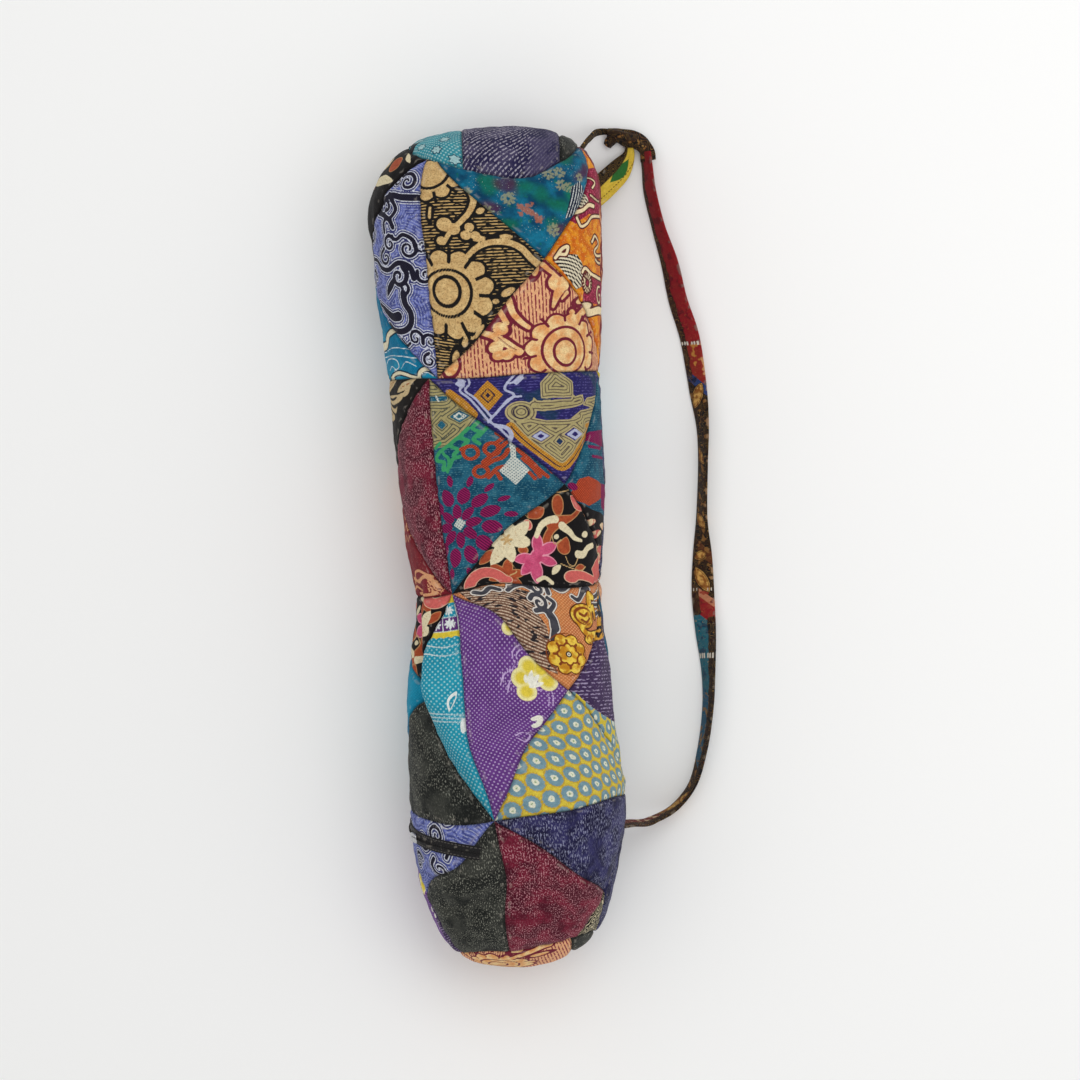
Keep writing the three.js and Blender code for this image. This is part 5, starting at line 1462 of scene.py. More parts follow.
def look_strap(f):
    """Lengths of different batik, by the run along the strap, with leaves, blots and pale cross stitches."""
    run, leaf, stitch, tint = f.field("run"), f.field("ink0"), f.field("ink1"), f.field("ink2")
    sections = f.node(
        "ShaderNodeValToRGB",
        {"stops": [(place, srgb(*colour)) for place, colour in STRAP_GROUNDS]},
        {0: run + f.u * 0.0014},
    )
    sections.socket.node.color_ramp.interpolation = "CONSTANT"
    gold = f.mix(f.smooth(f.noise(4.0, 3.0), 0.4, 0.62), srgb(150, 92, 42), srgb(226, 176, 94))
    motif = f.node(
        "ShaderNodeValToRGB",
        {"stops": [(place, srgb(*colour)) for place, colour in STRAP_MOTIFS]},
        {0: run},
    )
    motif.socket.node.color_ramp.interpolation = "CONSTANT"
    blots = f.smooth(f.noise(7.0, 2.0), 0.55, 0.6)
    swirl = f.smooth(abs(f.noise(9.0, 0.0, shift=30.0).sine(0.12)), 0.0, 0.28)
    ground = f.mix(blots * 0.85, sections, motif)
    way = f.smooth(run, 0.31, 0.32) * 2 - 1
    rim = f.smooth(f.noise(12.0) * 6.0 - 3.0 - f.u * way, 2.6, 3.4)
    ground = f.mix(rim * f.smooth(abs(run - 0.6), 0.05, 0.07) * 0.95, ground, srgb(34, 27, 24))
    ground = f.mix((1 - swirl) * (tint.most(rim * 0.9)), ground, gold)
    return layered(
        f, ground, (f.smooth(leaf, -0.9, -0.4), srgb(26, 20, 18)), (f.mask(leaf), gold),
        (f.line(leaf, 0.9, 0.3), srgb(84, 40, 22)), (f.mask(stitch, 0.15, 0.1), srgb(230, 222, 206)),
    )


def look_loop(f):
    """Half yellow with a green stripe and a thin stitched middle, half gold swirls on black."""
    side = f.field("ink0")
    yellow = f.mix(f.noise(5.0, 3.0), srgb(206, 168, 44), srgb(240, 210, 84))
    yellow = f.mix(f.smooth(f.v.sine(40.0) * 3.0 + 1.6 - abs(f.u - 1.2), -0.3, 0.3), yellow, srgb(52, 112, 52))
    thread = f.smooth(0.35 - abs(f.u - 6.0), -0.1, 0.1) * f.smooth(f.v.sine(3.0), -0.4, 0.0)
    yellow = f.mix(thread, yellow, srgb(86, 66, 30))
    swirl = f.smooth(abs(f.noise(8.0, 0.0).sine(0.12)), 0.0, 0.3)
    black = f.mix(1 - swirl, srgb(28, 24, 22), srgb(190, 146, 70))
    return f.mix(f.smooth(side, -0.5, 0.5), black, yellow)


def look_tape(f):
    """Black zip tape, twilled, with a row of stitches near each edge."""
    twill = f.smooth((f.u + f.v).sine(1.3), -0.2, 0.6)
    ground = f.mix(twill * 0.5, srgb(24, 23, 24), srgb(52, 50, 50))
    edge = f.smooth(0.35 - abs(f.field("edge") - 1.4), -0.1, 0.1) * f.smooth(f.v.sine(3.2), -0.5, -0.2)
    return f.mix(edge, ground, srgb(96, 92, 88))


def look_hatch(f):
    """Grey purple with slanting rows of pale strokes."""
    rows = f.smooth((f.u * 0.8 + f.v * 0.6).sine(2.5), 0.1, 0.6) * f.speckle(1.3, 0.46, (1.0, 2.0))
    rows = rows * (1 - f.smooth(f.u + f.noise(20.0) * 12.0, 18.0, 34.0) * 0.8)
    ground = f.mix(f.smooth(f.noise(20.0), 0.45, 0.55), srgb(40, 36, 74), srgb(72, 66, 98))
    return f.mix(rows * 0.8, ground, srgb(186, 180, 194))


STRAP_GROUNDS = [
    (0.0, (112, 34, 36)), (0.03, (46, 32, 26)), (0.095, (22, 92, 122)), (0.2, (34, 108, 126)),
    (0.312, (150, 32, 40)), (0.336, (196, 128, 96)), (0.348, (30, 25, 23)), (0.4, (96, 52, 32)),
    (0.42, (30, 25, 23)), (0.645, (40, 66, 122)), (0.662, (154, 44, 38)), (0.71, (148, 28, 38)),
]
STRAP_MOTIFS = [
    (0.0, (226, 200, 160)), (0.03, (158, 112, 62)), (0.095, (150, 112, 62)), (0.2, (16, 64, 92)),
    (0.312, (112, 20, 30)), (0.336, (150, 34, 40)), (0.348, (150, 104, 54)), (0.645, (24, 30, 60)),
    (0.662, (206, 142, 66)), (0.71, (104, 18, 32)),
]

SIDES = ("top", "right", "bottom", "left")
COLUMN_NAMES = ("front", "under", "left")
# Each row's cloths: front, under and left block, each as top, right, bottom, left.
PATCH_CLOTHS = [
    ["teal_blossom orange_wave peach_flower black_gold_flower", "maroon_spark purple_dot navy_spark red_key",
     "black_garden periwinkle_scroll blue_cloud charcoal_spark"],
    ["navy_weave teal_weave black_garden teal_weave", "turquoise_dot black_gold_flower copper_scroll navy_spark",
     "cream_scribble maroon_spark red_key orange_wave"],
    ["copper_scroll plum_dash yellow_ring purple_dot", "peach_flower charcoal_spark periwinkle_scroll teal_blossom",
     "black_garden turquoise_dot charcoal_spark blue_cloud"],
    ["navy_spark navy_spark cream_scribble maroon_spark", "yellow_ring red_key black_garden navy_spark",
     "periwinkle_scroll charcoal_spark plum_dash purple_dot"],
]


def no_ink(p):
    return []


def ink_cream(p):
    return [ink_bold_leaf(p)[0], np.minimum(ink_scribble(p)[0], -150 - p.v)]


def ink_squiggle(p):
    """Where the neighbouring cloths meet the dashes at the bag's steep side, and the lower one's discs."""
    upper = p.v - np.interp(p.u, [82, 105, 120, 150], [-117, -90, -80, -76])
    lower = np.interp(p.u, [82, 100, 120, 145], [-117, -132, -140, -146]) - p.v
    reach = np.minimum(p.u - 84, p.v + 190)
    return [np.minimum(upper, reach), np.minimum(lower, reach)] + ink_discs(p)


# Look, figures and the patch on whose flat cloth the figures are drawn.
CLOTHS = {
    "black_gold_flower": (look_gold_flower, ink_gold_flower, (0, 0, "left")),
    "peach_flower": (look_maroon_flower, ink_maroon_flower, (0, 0, "bottom")),
    "periwinkle_scroll": (look_cloud_scroll, ink_cloud_scroll, (0, 2, "right")),
    "teal_blossom": (look_blossom, ink_blossom, (0, 0, "top")),
    "orange_wave": (look_swirl, ink_swirl, (0, 0, "right")),
    "blue_cloud": (look_wave_cloud, ink_wave_cloud, (0, 2, "bottom")),
    "cream_scribble": (look_cream_on_black, ink_cream, None),
    "black_garden": (look_garden, ink_garden, (1, 0, "bottom")),
    "navy_weave": (look_woven_mask, ink_woven_mask, (1, 0, "top")),
    "teal_weave": (look_woven_leaf, ink_woven_leaf, None),
    "red_key": (look_key, ink_key, (1, 2, "bottom")),
    "copper_scroll": (look_copper, ink_copper, (2, 0, "top")),
    "purple_dot": (look_bloom, ink_bloom, (2, 0, "left")),
    "turquoise_dot": (look_border, ink_border, (2, 2, "right")),
    "yellow_ring": (look_discs, ink_discs, (2, 0, "bottom")),
    "plum_dash": (look_squiggle, ink_squiggle, None),
    "maroon_spark": (look_wine_spark, no_ink, None),
    "navy_spark": (look_navy_spark, no_ink, None),
    "charcoal_spark": (look_grey_spark, no_ink, None),
}


def cloth_finish(name, look, **options):
    """A cotton finish whose colours a look works out."""
    finish = Finish(name)
    return finish.cloth(look(finish), **options)


def centre_of(row, column, side):
    corners = patch_corners(row, column, side)
    middle = corners[:3].mean(axis=0)
    return np.array([middle[0] * BLOCK, in_row(row, middle[0], middle[1])[1]])


def on_cloth(flat, row, column, side, home):
    """Cloth coordinates turned by the quarter turns between two sides, about the patches' middles, so
    that a patch cut from the same cloth elsewhere shows the same figures."""
    if home is None or home == (row, column, side):
        return flat
    turns = (SIDES.index(home[2]) - SIDES.index(side)) * math.pi / 2
    c, s = math.cos(turns), math.sin(turns)
    moved = flat - centre_of(row, column, side)
    return moved @ np.array([[c, -s], [s, c]]) + centre_of(*home)


def inks_of(figures, flat):
    return {f"ink{i}": ink for i, ink in enumerate(figures(Print(flat[:, 0], flat[:, 1])))}


def zip_room(turn, cloth):
    """0 under the pocket zip and 1 away from it, so that the puffed cloth stays below the tape."""
    off = off_line(turn, cloth, *POCKET_ENDS)
    return np.clip((off - 6.0) / 7.0, 0, 1)


def cloth_relief(base, edge, turn, cloth):
    """Height of the sewn cloth over the plain shape: puffed away from its edges, a ditch at the seam
    with a rolled edge beside it, small puckers across the seam and broad unevenness."""
    puff = 0.9 * (1 - np.exp(-((edge / 8) ** 2)))
    ditch = 1.3 * np.exp(-((edge / 1.2) ** 2)) + 0.4 * np.exp(-((edge / 4.5) ** 2))
    pucker = 0.55 * np.exp(-edge / 7) * ripple(base, 9.0, 5)
    uneven = 0.6 * ripple(base, 55.0, 11) + 0.4 * ripple(base, 24.0, 12) + 0.12 * ripple(base, 10.0, 13)
    return (puff + pucker + uneven) * zip_room(turn, cloth) - ditch


def make_patch(row, column, side, materials):
    """One sewn patch on the bag, its figures drawn on its flat cloth."""
    corners = patch_corners(row, column, side)
    seen = column == 0 or (column == 2 and side != "left")
    net, index = net_between(corners, 136 if seen else 80, 86 if seen else 46)
    edge = edge_distance(net, corners)
    turn, cloth = in_row(row, net[:, 0], net[:, 1])
    flat = np.stack([net[:, 0] * BLOCK, cloth], -1)
    turn, cloth = pulled(turn, cloth)
    points = bag_surface(turn, cloth, cloth_relief(plain_shape(turn, cloth), edge, turn, cloth))
    slot = PATCH_CLOTHS[row][column].split()[SIDES.index(side)]
    figures, home = CLOTHS[slot][1:]
    own_figures = (row, column, side) in ((0, 2, "top"), (3, 2, "top"))
    flat = on_cloth(flat, row, column, side, None if own_figures else home)
    name = f"patch_{row + 1}_{COLUMN_NAMES[column]}_{side}"
    fields = {"edge": edge, **inks_of(figures, flat)}
    piece = make_piece("cloth_" + name, points, faces_of(index), flat, fields, flip=True)
    return finish_piece(piece, name, materials[slot], WALL)


# End panels
PANEL_RADIUS = 75.0


def panel_place(end, across, height):
    """A point of an end panel: a disc drawn on the dome, whose rim is the panel's seam. height is a
    share of the disc's chord at across."""
    up = height * np.sqrt(np.maximum(1 - across**2, 0))
    radius, angle = np.hypot(across, up), np.degrees(np.arctan2(up, across))
    rim = ring_at(0 if end["way"] > 0 else len(ROWS), angle)
    cloth = tip_of(end) + (rim - tip_of(end)) * radius
    turn, cloth = pulled(angle, cloth)
    return turn, cloth, np.stack([across, up], -1) * PANEL_RADIUS, radius


def cut_line(end, heights, place):
    """Across coordinate of a cut that runs at one X of the bag, by halving."""
    low, high = np.full(heights.shape, -1.0), np.full(heights.shape, 1.0)
    for _ in range(30):
        middle = (low + high) / 2
        turn, cloth, _, _ = panel_place(end, middle, heights)
        right = bag_surface(turn, cloth)[..., 0] > place
        high = np.where(right, middle, high)
        low = np.where(right, low, middle)
    return (low + high) / 2


def make_panel(name, end, cuts, material, figures=no_ink, shift=(0.0, 0.0)):
    """One strip of an end panel between two cuts, an open side reaching the rim's end."""
    rows = np.sin(np.linspace(-1, 1, 101) * math.pi / 2)
    left = np.full(rows.shape, -1.0) if cuts[0] is None else cut_line(end, rows, cuts[0])
    right = np.full(rows.shape, 1.0) if cuts[1] is None else cut_line(end, rows, cuts[1])
    share = np.linspace(0, 1, 61)
    if cuts[0] is None:
        share = 1 - np.cos(share * math.pi / 2)
    else:
        share = np.sin(share * math.pi / 2) if cuts[1] is None else share
    across = left[:, None] + share[None, :] * (right - left)[:, None]
    turn, cloth, flat, radius = panel_place(end, across, np.broadcast_to(rows[:, None], across.shape))
    edge = (1 - radius) * PANEL_RADIUS
    for line in (left, right):
        if abs(line[0]) < 1:
            edge = np.minimum(edge, np.abs(across - line[:, None]) * PANEL_RADIUS)
    edge = np.maximum(edge, 0)
    relief = cloth_relief(plain_shape(turn, cloth), edge, turn, cloth)
    points = bag_surface(turn, cloth, relief).reshape(-1, 3)
    index = np.arange(len(points)).reshape(across.shape)
    if cuts[0] is None:
        index[:, 0] = index[0, 0]
    if cuts[1] is None:
        index[:, -1] = index[0, -1]
    quads, triangles = welded_faces(index)
    flat = flat.reshape(-1, 2) + np.array(shift)
    fields = {"edge": edge.ravel(), **inks_of(figures, flat)}
    piece = make_piece("cloth_" + name, *tidied(points, quads, triangles, flat, fields, end["way"] > 0))
    return finish_piece(piece, name, material, WALL)


def welded_faces(index):
    """Faces of a grid in which a whole first or last column is one point."""
    a, b, c, d = (g.ravel() for g in (index[:-1, :-1], index[:-1, 1:], index[1:, 1:], index[1:, :-1]))
    whole = (a != d) & (b != c)
    first, last = a == d, (b == c) & (a != d)
    triangles = np.concatenate([np.stack([a, b, c], -1)[first], np.stack([a, b, d], -1)[last]])
    return np.stack([a, b, c, d], -1)[whole], triangles


def tidied(points, quads, triangles, flat, fields, flip):
    """Drops points that no face uses."""
    used = np.unique(np.concatenate([quads.ravel(), triangles.ravel()]))
    new = np.zeros(len(points), int)
    new[used] = np.arange(len(used))
    fields = {name: values[used] for name, values in fields.items()}
    return points[used], (new[quads], new[triangles]), flat[used], fields, flip


# Zips
POCKET_ENDS = (108.0, -0.362, 214.0, -0.314)
TAPE_WALL = 0.4
TAPE_HALF = 5.5
TAPE_RISE = 1.3
COIL_HALF = 1.9
COIL_RISE = 1.3
TOOTH = 2.4


def make_zip(name, turns, cloths, material):
    """Zip tape along a line of the bag, with a coil of teeth: the coil is a bell across the tape, and its
    height beats along it once a tooth. The tape's rim turns down into the cloth."""
    count = len(turns)
    run = np.concatenate([[0], np.cumsum(np.hypot(np.radians(np.diff(turns)) * GIRTH_RADIUS, np.diff(cloths)))])
    way = np.stack([np.gradient(np.radians(turns) * GIRTH_RADIUS), np.gradient(cloths)], -1)
    way /= np.linalg.norm(way, axis=1, keepdims=True)
    off = np.concatenate([[-TAPE_HALF], np.linspace(-TAPE_HALF, TAPE_HALF, 27), [TAPE_HALF]])
    turn = turns[:, None] - way[:, 1:] * off * math.degrees(1) / GIRTH_RADIUS
    cloth = cloths[:, None] + way[:, :1] * off
    side = np.sign(off)[None, :] * 0.5
    beat = 0.55 + 0.45 * np.cos(2 * math.pi * (run[:, None] / TOOTH + side))
    coil = np.clip(1 - (off[None, :] / COIL_HALF) ** 2, 0, 1) ** 0.6
    rise = TAPE_RISE + COIL_RISE * coil * beat
    rise[:, [0, -1]] = -1.2
    rise[[0, -1], :] = -1.2
    points = bag_surface(turn, cloth, rise).reshape(-1, 3)
    index = np.arange(len(points)).reshape(count, len(off))
    flat = np.stack(np.broadcast_arrays(off[None, :], run[:, None]), -1).reshape(-1, 2)
    edge = (TAPE_HALF - np.abs(flat[:, 0]))
    piece = make_piece("zip_" + name, points, faces_of(index), flat, {"edge": edge}, flip=False)
    return finish_piece(piece, name, material, TAPE_WALL)


def make_slider(material):
    """The slider: a rounded block, then a flat pull that lies along the tape."""
    share = 0.46
    turn = POCKET_ENDS[0] + (POCKET_ENDS[2] - POCKET_ENDS[0]) * share
    cloth = (POCKET_ENDS[1] + (POCKET_ENDS[3] - POCKET_ENDS[1]) * share) * LENGTH
    spot = bag_surface(np.array([turn]), np.array([cloth]), np.array([TAPE_RISE + COIL_RISE]))[0]
    up = outward(np.array([turn]), np.array([cloth]))[0]
    ahead = bag_surface(np.array([turn + 2]), np.array([cloth + 0.67]), np.array([2.6]))[0] - spot
    ahead -= up * (ahead @ up)
    ahead /= np.linalg.norm(ahead)
    wide = np.cross(up, ahead)
    around = np.linspace(0, 2 * math.pi, 49)[:-1]
    rise = np.linspace(-math.pi / 2, math.pi / 2, 25)

    def block(length, width, high, centre, lift):
        """A block with rounded edges: roots of a circle's sine and cosine on each axis."""
        ring_x = np.sign(np.cos(around)) * np.abs(np.cos(around)) ** 0.45
        ring_y = np.sign(np.sin(around)) * np.abs(np.sin(around)) ** 0.45
        swell = np.abs(np.cos(rise)) ** 0.35
        tall = np.sign(np.sin(rise)) * np.abs(np.sin(rise)) ** 0.7
        x = centre + length / 2 * swell[:, None] * ring_x
        y = width / 2 * swell[:, None] * ring_y
        z = lift + high / 2 * tall[:, None] + np.zeros(x.shape)
        return spot + x[..., None] * ahead + y[..., None] * wide + z[..., None] * up

    points, quads = [], []
    for size in ((12, 7.4, 3.0, 0, 1.2), (4, 3.2, 1.4, -2.5, 3.1), (11, 3.6, 1.0, -8.5, 3.2)):
        grid = block(*size)
        index = np.arange(grid.shape[0] * grid.shape[1]).reshape(grid.shape[:2]) + sum(map(len, points))
        wrap = np.concatenate([index, index[:, :1]], axis=1)
        quads.append(faces_of(wrap)[0])
        points.append(grid.reshape(-1, 3))
    points, quads = np.concatenate(points), np.concatenate(quads)
    piece = make_piece("slider", points, (quads, np.zeros((0, 3), int)), points[:, :2], {"edge": points[:, 0] * 0 + 9})
    return finish_piece(piece, "pocket_zip_slider", material)


# Strap, knot and loop. across and along are shares of the bag's width and length, lift of its height.
STRAP_HALF = 11.0
STRAP_ROUTE = [
    (0.4, -0.34, 76, 0.42), (0.5, -0.337, 75, 0.27), (0.6, -0.335, 74, 0.08), (0.708, -0.321, 73, 0),
    (0.79, -0.295, 72, 0), (0.841, -0.253, 67, 0), (0.875, -0.2, 63, 0), (0.883, -0.154, 53, 0),
    (0.879, -0.11, 29, 0), (0.875, -0.066, 17, 0), (0.88, -0.022, 36, 0), (0.884, 0.022, 63, 0),
    (0.9, 0.088, 68, 0), (0.906, 0.132, 60, 0), (0.894, 0.176, 42, 0), (0.866, 0.242, 34, 0),
    (0.823, 0.286, 38, 0), (0.795, 0.33, 44, 0), (0.753, 0.374, 57, 0), (0.722, 0.418, 59, 0),
    (0.716, 0.446, 64, 0), (0.71, 0.465, 64, 0),
]
KNOT_WRAP = [
    (0.55, 0.489, 0.42, 0.42), (0.588, 0.487, 0.5, 0.5), (0.636, 0.482, 0.62, 0.55), (0.688, 0.475, 0.58, 0.55),
    (0.716, 0.465, 0.54, 0.52), (0.722, 0.454, 0.52, 0.5),
]
KNOT_TAIL = [(0.59, 0.484, 0.34, 0.34), (0.56, 0.479, 0.38, 0.36), (0.546, 0.474, 0.3, 0.28)]
LOOP_ROUTE = [
    (0.4, 0.402, 1, -14, 0.2), (0.47, 0.414, 1, -14, 0.16), (0.54, 0.43, 0.98, -10, 0.1), (0.6, 0.446, 0.85, -6, 0.05),
    (0.64, 0.464, 0.42, 0, 0.025), (0.638, 0.476, 0.27, 0, 0.025), (0.6, 0.486, 0.24, 10, 0.025),
    (0.55, 0.491, 0.24, 40, 0.02), (0.505, 0.4905, 0.4, 62, 0.03), (0.468, 0.483, 0.5, 78, 0.1),
    (0.425, 0.469, 0.5, 80, 0.2), (0.36, 0.45, 0.5, 80, 0.3),
]


def even_curve(points, count):
    """A smooth curve through points, with the slopes of a centripetal Catmull-Rom curve: each span's
    pace is the root of its length."""
    ends = [2 * points[0] - points[1]], [2 * points[-1] - points[-2]]
    spread = np.concatenate([ends[0], points, ends[1]])
    at = np.linspace(0, 1, count) * (len(points) - 1)
    i = np.minimum(at.astype(int), len(points) - 2)
    t = (at - i)[:, None]
    p0, p1, p2, p3 = (spread[i + k] for k in range(4))
    pace = [np.sqrt(np.linalg.norm(q - p, axis=1, keepdims=True)) for p, q in ((p0, p1), (p1, p2), (p2, p3))]
    s1 = ((p1 - p0) / pace[0] - (p2 - p0) / (pace[0] + pace[1]) + (p2 - p1) / pace[1]) * pace[1]
    s2 = ((p2 - p1) / pace[1] - (p3 - p1) / (pace[1] + pace[2]) + (p3 - p2) / pace[2]) * pace[1]
    return p1 + s1 * t + (-3 * p1 + 3 * p2 - 2 * s1 - s2) * t**2 + (2 * p1 - 2 * p2 + s1 + s2) * t**3


def tube_grid(route, broad, deep, roll, lift, steps, sides, square):
    """A flat band along a route: its section is an oval with squared ends, rolled about the path, and
    its middle lies as high as the tipped section needs."""
    rows = np.array(route, float)
    angle = np.radians(roll)
    rest = np.hypot(broad * np.sin(angle), deep * np.cos(angle)) + 1
    spine = np.stack([rows[:, 0] * WIDTH, rows[:, 1] * LENGTH, rest + lift * HEIGHT], -1)
    at = np.linspace(0, len(rows) - 1, steps)
    keys = {"at": np.arange(len(rows), dtype=float), "broad": broad, "deep": deep, "roll": angle}
    wide, thick, tip = (through(keys, "at", name, at) for name in ("broad", "deep", "roll"))
    centre = even_curve(spine, steps)
    ahead = np.gradient(centre, axis=0)
    ahead /= np.linalg.norm(ahead, axis=1, keepdims=True)
    level = np.stack([ahead[:, 1], -ahead[:, 0], np.zeros(steps)], -1)
    level /= np.linalg.norm(level, axis=1, keepdims=True)
    up = np.cross(level, ahead)
    ring = np.linspace(0, 2 * math.pi, sides + 1)[:-1]
    side = np.sign(np.cos(ring)) * np.abs(np.cos(ring)) ** square
    over = np.sign(np.sin(ring)) * np.abs(np.sin(ring)) ** (square * 1.3)
    p, q = wide[:, None] * side, thick[:, None] * over
    c, s = np.cos(tip)[:, None], np.sin(tip)[:, None]
    grid = centre[:, None] + level[:, None] * (p * c - q * s)[..., None] + up[:, None] * (p * s + q * c)[..., None]
    run = np.concatenate([[0], np.cumsum(np.linalg.norm(np.diff(centre, axis=0), axis=1))])
    return grid, centre, p, run, up


def make_band(name, parts, material, node, fields_of):
    """Joins closed bands into one piece, with a point at each end of each band."""
    points, quads, triangles, flats, fields, start = [], [], [], [], [], 0
    for grid, centre, across, run, _ in parts:
        steps, sides = across.shape
        index = np.arange(steps * sides).reshape(steps, sides) + start
        wrap = np.concatenate([index, index[:, :1]], axis=1)
        quads.append(faces_of(wrap)[0])
        first, last = start + steps * sides, start + steps * sides + 1
        a, b = wrap[0, :-1], wrap[0, 1:]
        c, d = wrap[-1, :-1], wrap[-1, 1:]
        triangles += [np.stack([b, a, np.full(sides, first)], -1), np.stack([c, d, np.full(sides, last)], -1)]
        points += [grid.reshape(-1, 3), centre[[0, -1]]]
        flat = np.stack(np.broadcast_arrays(across, run[:, None]), -1).reshape(-1, 2)
        flats.append(np.concatenate([flat, [[0, run[0]], [0, run[-1]]]]))
        start = last + 1
    points, flats = np.concatenate(points), np.concatenate(flats)
    fields = fields_of(points, flats)
    faces = (np.concatenate(quads), np.concatenate(triangles))
    piece = make_piece(name, points, faces, flats, fields, flip=True)
    return finish_piece(piece, node, material)


def strap_fields(count):
    """Fields of the strap's points, the first count of which are the strap's own and the rest the knot's."""
    def fields(points, flat):
        own = np.arange(len(points)) < count
        y = points[:, 1]
        p = Print(flat[:, 0], y)
        leaf = join(
            p.leaf(-5, -224, 6, -206, 4.6),
            p.leaf(6, -44, -6, -24, 4.8),
            p.leaf(-7, -16, 5, -12, 3.6),
            p.leaf(7, 8, -5, 20, 4.4),
            p.leaf(-6, 106, 6, 126, 5.0),
            p.leaf(5, 60, -5, 72, 3.4),
        )
        seam = 0.45 - np.abs(np.mod(flat[:, 0], 3.0) - 1.5)
        stitch = join(
            np.minimum(seam + 0.4, 2.2 - np.abs(y + 96)),
            np.minimum(seam + 0.4, 1.6 - np.abs(y - 159)),
            np.minimum(seam, 1.4 - np.abs(y + 42)),
        )
        tint = np.interp(y, [-240, -60, -50, 110, 122, 320], [0.6, 0.6, 0.9, 0.9, 0.35, 0.1])
        return {
            "run": np.where(own, (y + 240) / 560, 0.5),
            "ink0": np.where(own, leaf, -9),
            "ink1": np.where(own, stitch, -9),
            "ink2": np.where(own, tint, 0.9),
            "edge": np.where(own, STRAP_HALF + 1.2 - np.abs(flat[:, 0]), 9),
        }
    return fields


def make_strap_and_loop(strap_cloth, loop_cloth):
    rows = np.array(STRAP_ROUTE)
    same = np.ones(len(rows))
    strap = tube_grid(STRAP_ROUTE, same * 9.6, same * 1.8, rows[:, 2], rows[:, 3], 700, 44, 0.8)
    knots = []
    for route in (KNOT_WRAP, KNOT_TAIL):
        knot = np.array(route)
        none = np.zeros(len(knot))
        knots.append(tube_grid(route, knot[:, 2] * STRAP_HALF, knot[:, 3] * STRAP_HALF, none, none, 120, 48, 1.0))
    for grid, centre, across, run, up in knots:
        ring = np.arange(grid.shape[1]) * 2 * math.pi / grid.shape[1]
        crease = 0.8 * np.cos(3 * ring[None, :] + run[:, None] / 9) + 0.3 * np.cos(7 * ring[None, :] - run[:, None] / 6)
        grid += (grid - centre[:, None]) / 5.5 * crease[..., None]
    count = 700 * 44 + 2
    make_band("strap", [strap, *knots], strap_cloth, "shoulder_strap", strap_fields(count))
    rows = np.array(LOOP_ROUTE)
    loop = tube_grid(LOOP_ROUTE, rows[:, 2] * STRAP_HALF, np.full(len(rows), 1.5), rows[:, 3], rows[:, 4], 300, 40, 0.6)
    total = loop[3][-1]

    def fields(points, flat):
        side = np.minimum(0.45 * total - flat[:, 1], flat[:, 0] + 1.5)
        return {"edge": STRAP_HALF + 1 - np.abs(flat[:, 0]), "ink0": side}

    make_band("loop", [loop], loop_cloth, "strap_loop", fields)


def plain_finish(name, colour, roughness, metallic=0.0):
    """A finish that is the same all over."""
    material = bpy.data.materials.new(name)
    material.use_nodes = True
    shader = material.node_tree.nodes["Principled BSDF"]
    shader.inputs["Base Color"].default_value = colour
    shader.inputs["Roughness"].default_value = roughness
    shader.inputs["Metallic"].default_value = metallic
    return material


def metal_finish():
    """Nickelled metal: its roughness and colour vary a little with handling."""
    f = Finish("slider_metal")
    worn = f.noise(4.0, 3.0)
    f.tree.links.new(f.mix(worn, srgb(150, 150, 152), srgb(206, 206, 208)).socket, f.shader.inputs["Base Color"])
    f.tree.links.new((worn * 0.2 + 0.25).socket, f.shader.inputs["Roughness"])
    f.shader.inputs["Metallic"].default_value = 1.0
    return f.material


def place_camera():
    """Straight above the surface, turned a little, as the photo is framed."""
    camera = bpy.data.objects.new("camera", bpy.data.cameras.new("camera"))
    bpy.context.scene.collection.objects.link(camera)
    distance = 12.0
    middle_height = 0.06
    photo_width = 0.877
    camera.location = (-0.0083, 0.0043, distance)
    camera.rotation_euler = (0, 0, -math.radians(2.6))
    camera.data.sensor_width = 36
    camera.data.lens = 36 * (distance - middle_height) / photo_width
    camera.data.clip_end = 50
    bpy.context.scene.camera = camera


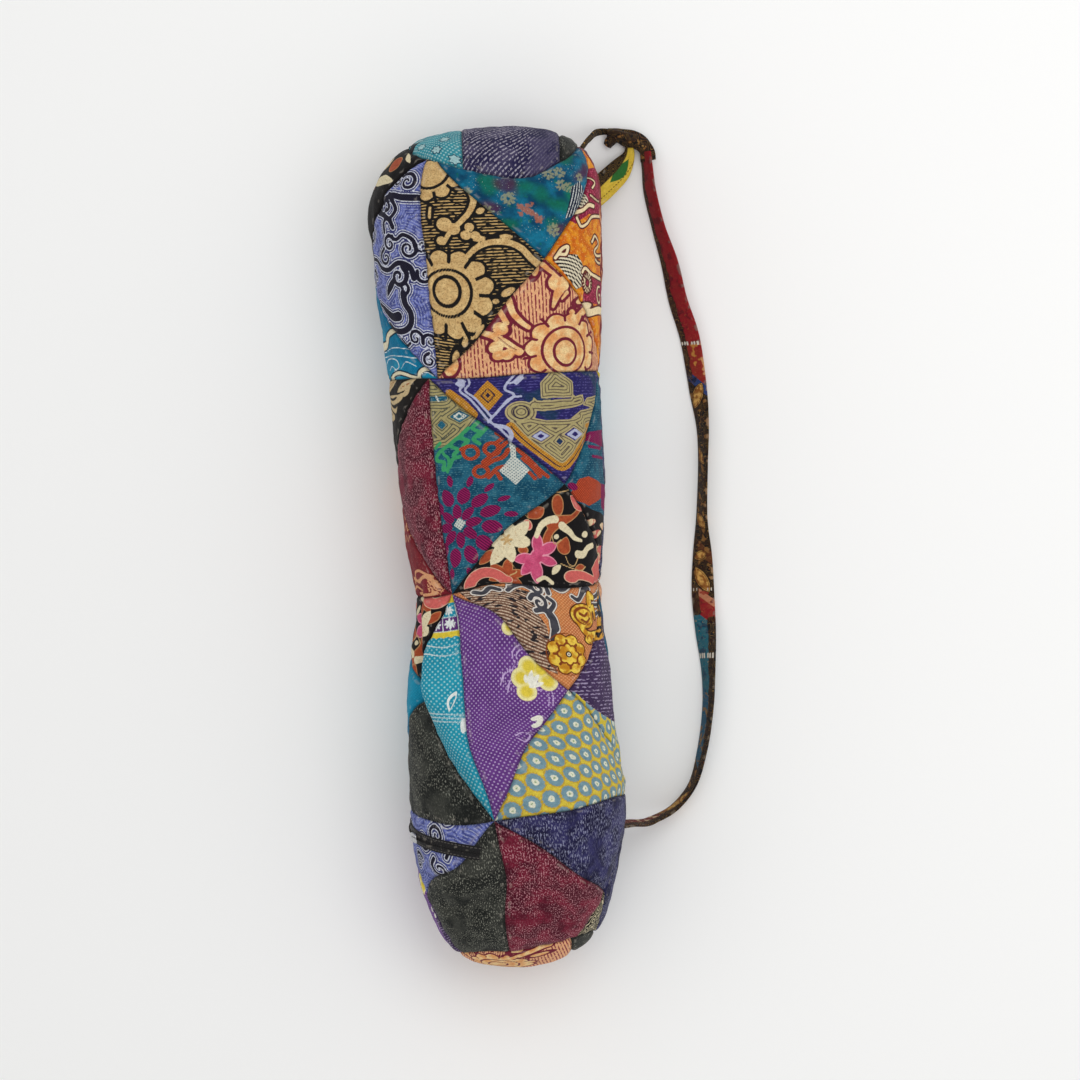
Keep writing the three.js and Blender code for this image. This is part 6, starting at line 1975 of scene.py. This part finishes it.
def place_lights():
    """Even studio light: a pale surround and one wide soft lamp above, a little to the right."""
    world = bpy.data.worlds.new("studio")
    bpy.context.scene.world = world
    world.use_nodes = True
    world.node_tree.nodes["Background"].inputs["Color"].default_value = (1.0, 1.0, 1.0, 1.0)
    world.node_tree.nodes["Background"].inputs["Strength"].default_value = 0.8
    lamp = bpy.data.objects.new("soft_lamp", bpy.data.lights.new("soft_lamp", "AREA"))
    bpy.context.scene.collection.objects.link(lamp)
    lamp.data.shape = "DISK"
    lamp.data.size = 2.4
    lamp.data.energy = 19
    lamp.location = (0.9, 0.6, 2.2)
    aim = -np.array(lamp.location)
    lamp.rotation_euler = (math.atan2(math.hypot(aim[0], aim[1]), -aim[2]), 0, math.atan2(aim[0], -aim[1]))
    scene = bpy.context.scene
    scene.view_settings.view_transform = "Standard"
    scene.view_settings.look = "None"


def make_floor():
    """A plain pale surface, far wider than the view."""
    half = 6000.0
    points = np.array([(-half, -half, 0), (half, -half, 0), (half, half, 0), (-half, half, 0)], float)
    points[:, 2] = -0.05
    floor = make_piece("floor", points, (np.array([[0, 1, 2, 3]]), np.zeros((0, 3), int)))
    floor.data.materials.append(plain_finish("pale_surface", (0.93, 0.93, 0.92, 1.0), 0.9))


place_camera()
place_lights()
make_floor()

cloth_materials = {name: cloth_finish(name, look) for name, (look, _, _) in CLOTHS.items()}
for row in range(len(ROWS)):
    for column in range(COLUMNS):
        for side in SIDES:
            make_patch(row, column, side, cloth_materials)

flower_panel = cloth_finish("turquoise_dot_panel", look_panel_flower)
hatch_panel = cloth_finish("plum_hatch_panel", look_hatch)
make_panel("top_panel_1", TOP_END, (None, -15.9), flower_panel, ink_panel_flower)
make_panel("top_panel_2", TOP_END, (-15.9, 63.6), hatch_panel)
make_panel("top_panel_3", TOP_END, (63.6, None), cloth_materials["charcoal_spark"])
make_panel(
    "bottom_panel_1", BOTTOM_END, (None, 43.9), cloth_materials["peach_flower"], ink_maroon_flower,
    (121.0, 122.0),
)
make_panel("bottom_panel_2", BOTTOM_END, (43.9, None), cloth_materials["charcoal_spark"])

tape_finish = cloth_finish("zip_black", look_tape, roughness=0.6, sheen=0.05)
share = np.linspace(0, 1, 460)
turn0, along0, turn1, along1 = POCKET_ENDS
make_zip("pocket_zip", turn0 + (turn1 - turn0) * share, (along0 + (along1 - along0) * share) * LENGTH, tape_finish)
closing = 196 + (318 - 196) * share
make_zip("closing_zip", closing, ring_at(0, closing), tape_finish)
make_slider(metal_finish())
make_strap_and_loop(cloth_finish("red_batik", look_strap), cloth_finish("red_batik_loop", look_loop))
